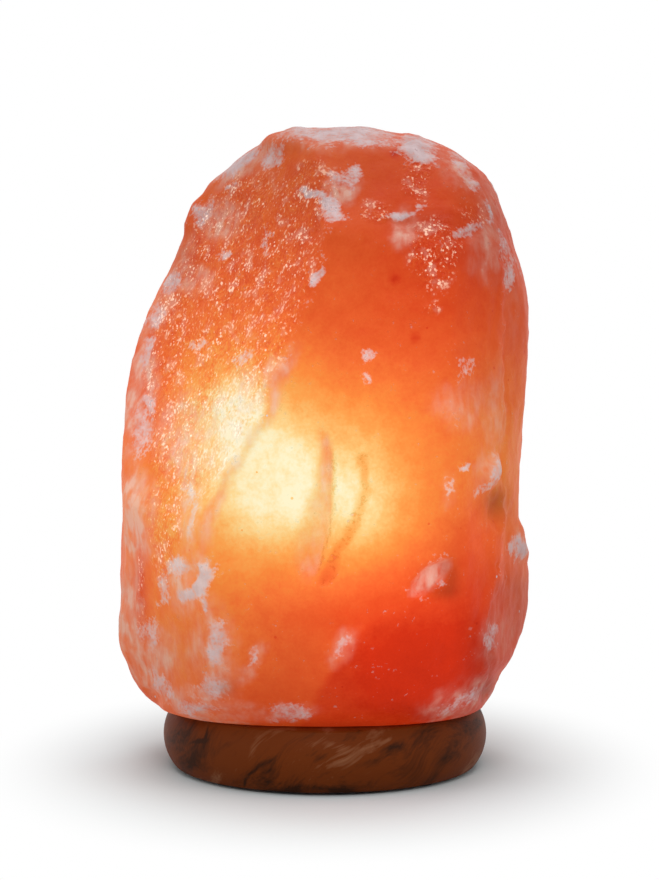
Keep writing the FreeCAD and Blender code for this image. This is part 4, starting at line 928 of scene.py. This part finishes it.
class SALTLAMP_OT_lampholder(bpy.types.Operator):
    """Gives the lampholder's shell, contacts and terminals their moulded plastic, brass, bronze and steel"""

    bl_idname = "saltlamp.lampholder"
    bl_label = "Lampholder"

    def execute(self, context):
        # Polyester, moulded: black with a satin skin. The core is the same material, duller where no hand reaches.
        satin_black = moulded("pbt_moulded_black", "#191818", 0.40, 0.4 * MM)
        dull_black = moulded("pbt_moulded_dull", "#1e1d1c", 0.55, 0.5 * MM)
        brass = worked_metal("brass_rolled", "#d8b566", 0.26, "#a07c3c")
        plated = worked_metal("steel_zinc_plated_turned", "#bdbfc1", 0.30, "#8d8c84", (6.0, 6.0, 1.0))
        for node, finish in (
            ("holder_skirt", satin_black), ("holder_cap", satin_black), ("cord_nipple", satin_black),
            ("holder_core", dull_black), ("holder_screw_shell", brass), ("terminal_blocks", brass),
            ("contact_rivets", brass), ("terminal_screws", plated), ("lock_nut", plated),
        ):
            finish_node(node, finish)
        # Nylon, moulded: the grip screw is milky, so that its blunt tip doesn't mark the cord.
        finish_node("cord_grip_screw", moulded("nylon_moulded_screw", "#d5d0c2", 0.45, 0.4 * MM, ior=1.53))
        # Phosphor bronze, rolled: redder than the brass round it, with marks along the strip.
        bronze = worked_metal("bronze_rolled_strip", "#c08550", 0.30, "#8a5a34", (1, 6, 6))
        finish_node("holder_centre_contact", bronze)
        return {"FINISHED"}


class SALTLAMP_OT_clip(bpy.types.Operator):
    """Gives the three-leaved clip its spring steel"""

    bl_idname = "saltlamp.clip"
    bl_label = "Spring Clip"

    def execute(self, context):
        # Spring steel, rolled and tempered: grey, with straw and blue-grey tones where it was heated.
        finish_node("spring_clip", worked_metal("spring_steel_tempered", "#a3a4a6", 0.33, "#7c6f5d", (6, 6, 1)))
        return {"FINISHED"}


class SALTLAMP_OT_bulb(bpy.types.Operator):
    """Gives the bulb its glass, threaded cap, contacts and glowing filament"""

    bl_idname = "saltlamp.bulb"
    bl_label = "Bulb"

    def execute(self, context):
        clear = blown_glass("soda_lime_glass_blown", "#fbfdfd", Transmission_Weight=1.0)
        for node in ("bulb_glass", "bulb_stem"):
            finish_node(node, clear)
        finish_node("bulb_insulator", blown_glass("black_glass_pressed", "#0d0c12"))
        # Brass, spun and nickel-plated: pale, with the yellow showing through on the thread.
        finish_node("bulb_cap", worked_metal("brass_nickel_plated", "#c9c3b2", 0.28, "#a58c58"))
        # Solder, dabbed on and left to set: dull grey, dimpled.
        finish_node("bulb_tip_contact", worked_metal("solder_dabbed", "#b4b4b6", 0.42, "#8b8b8c", (1, 1, 1)))
        # Nickel-iron wire and molybdenum wire, drawn: plain grey with marks along them.
        finish_node("bulb_lead_wires", worked_metal("nickel_iron_drawn", "#b2ada4", 0.32, "#8e877c", (6, 6, 1)))
        finish_node("bulb_support_wire", worked_metal("molybdenum_drawn", "#98989a", 0.35, "#77767a", (6, 6, 1)))
        finish_node("bulb_filament", hot_tungsten())
        return {"FINISHED"}


class SALTLAMP_OT_stage(bpy.types.Operator):
    """Makes the floor, the studio's lights and the camera"""

    bl_idname = "saltlamp.stage"
    bl_label = "Stage"

    def execute(self, context):
        look = context.scene.stage_look
        scene = context.scene
        scene.view_settings.view_transform = "Standard"

        camera = bpy.data.cameras.new("photo_camera")
        camera.lens = look.focal_length
        camera.sensor_width = SENSOR
        stand = bpy.data.objects.new("photo_camera", camera)
        stand.location = CAMERA_SPOT
        stand.rotation_euler = (math.pi / 2 - CAMERA_PITCH, 0, 0)
        scene.collection.objects.link(stand)
        scene.camera = stand

        bpy.ops.mesh.primitive_circle_add(vertices=128, radius=FLOOR_RADIUS, fill_type="NGON")
        floor = context.object
        floor.name = "floor"
        floor.data.materials.append(white_floor())

        for name, place, size, power in (
            ("top_softbox", (0.0, 0.1, 1.6), 1.6, look.top_power),
            ("front_softbox", (-0.05, -1.3, 1.25), 0.6, look.front_power),
            ("left_softbox", (-1.5, -0.8, 0.8), 1.0, look.side_power),
            ("right_softbox", (1.5, -0.8, 0.8), 1.0, look.side_power),
        ):
            light = bpy.data.lights.new(name, "AREA")
            light.shape = "SQUARE"
            light.size = size
            light.energy = power
            box = bpy.data.objects.new(name, light)
            box.location = place
            box.rotation_euler = (LIGHTS_AIM - Vector(place)).to_track_quat("-Z", "Y").to_euler()
            scene.collection.objects.link(box)

        world = bpy.data.worlds.new("studio")
        world.use_nodes = True
        tree = world.node_tree
        tree.nodes.clear()
        even = add(tree, "Background", {"Color": (1, 1, 1, 1), "Strength": look.sky_light})
        white = add(tree, "Background", {"Color": (1, 1, 1, 1), "Strength": 1.0})
        shown = add(tree, "MixShader", (seen_directly(tree), even, white))
        add(tree, "OutputWorld", {"Surface": shown})
        scene.world = world
        return {"FINISHED"}


def seen_directly(tree):
    """1 for light that the camera sees straight, in a reflection or through glass, else 0."""
    path = add(tree, "LightPath").outputs
    seen = add(tree, "Math", (path["Is Camera Ray"], path["Is Transmission Ray"]), operation="MAXIMUM")
    return add(tree, "Math", (seen, path["Is Glossy Ray"]), operation="MAXIMUM")


SHADOW_FADE = (0.075, 0.165)  # how far from the lamp the floor starts to turn plain white, and where it ends


def white_floor():
    """Matt paper: grey near the lamp, which deepens the cast shadow there as a painted shadow, and plain white further
    out. Its cool tint cancels the pink light that the glow throws on it.
    """
    material, tree, shader = new_material(
        "paper_matt_white", Base_Color=linear("#d8dfe0"), Roughness=0.9, Specular_IOR_Level=0.0)
    output = next(node for node in tree.nodes if node.type == "OUTPUT_MATERIAL")
    place = add(tree, "TexCoord").outputs["Object"]
    # The painted shadow is an oval, narrower at the sides than in front and behind.
    oval = add(tree, "Mapping", {"Vector": place, "Scale": (1.25, 1.0, 1.0)})
    distance = add(tree, "VectorMath", (oval,), operation="LENGTH").outputs["Value"]
    far = add(tree, "MapRange", (distance, *SHADOW_FADE), **SMOOTH)
    white = add(tree, "Emission", {"Color": (1, 1, 1, 1), "Strength": 1.0})
    share = add(tree, "Math", (far, seen_directly(tree)), operation="MULTIPLY")
    faded = add(tree, "MixShader", (share, shader, white))
    join(tree, output, {"Surface": faded})
    return material


class SALTLAMP_PT_panel(bpy.types.Panel):
    """Lists the lamp's pieces"""

    bl_label = "Salt Lamp"
    bl_space_type = "VIEW_3D"
    bl_region_type = "UI"
    bl_category = "Salt Lamp"

    def draw(self, context):
        for look in (context.scene.crystal_look, context.scene.base_look, context.scene.stage_look):
            box = self.layout.box()
            for name in look.__annotations__:
                box.prop(look, name)
        for operator in OPERATORS:
            self.layout.operator(operator.bl_idname)


OPERATORS = (
    SALTLAMP_OT_stage, SALTLAMP_OT_crystal, SALTLAMP_OT_base, SALTLAMP_OT_feet, SALTLAMP_OT_fastenings,
    SALTLAMP_OT_lampholder, SALTLAMP_OT_clip, SALTLAMP_OT_bulb,
)
LOOKS = {"crystal_look": CrystalLook, "base_look": BaseLook, "stage_look": StageLook}
CLASSES = (*LOOKS.values(), *OPERATORS, SALTLAMP_PT_panel)


def register():
    for kind in CLASSES:
        bpy.utils.register_class(kind)
    for name, kind in LOOKS.items():
        setattr(bpy.types.Scene, name, PointerProperty(type=kind))


def unregister():
    for name in LOOKS:
        delattr(bpy.types.Scene, name)
    for kind in reversed(CLASSES):
        bpy.utils.unregister_class(kind)


def main():
    register()
    for operator in OPERATORS:
        group, name = operator.bl_idname.split(".")
        getattr(getattr(bpy.ops, group), name)()


if __name__ == "__main__":
    main()
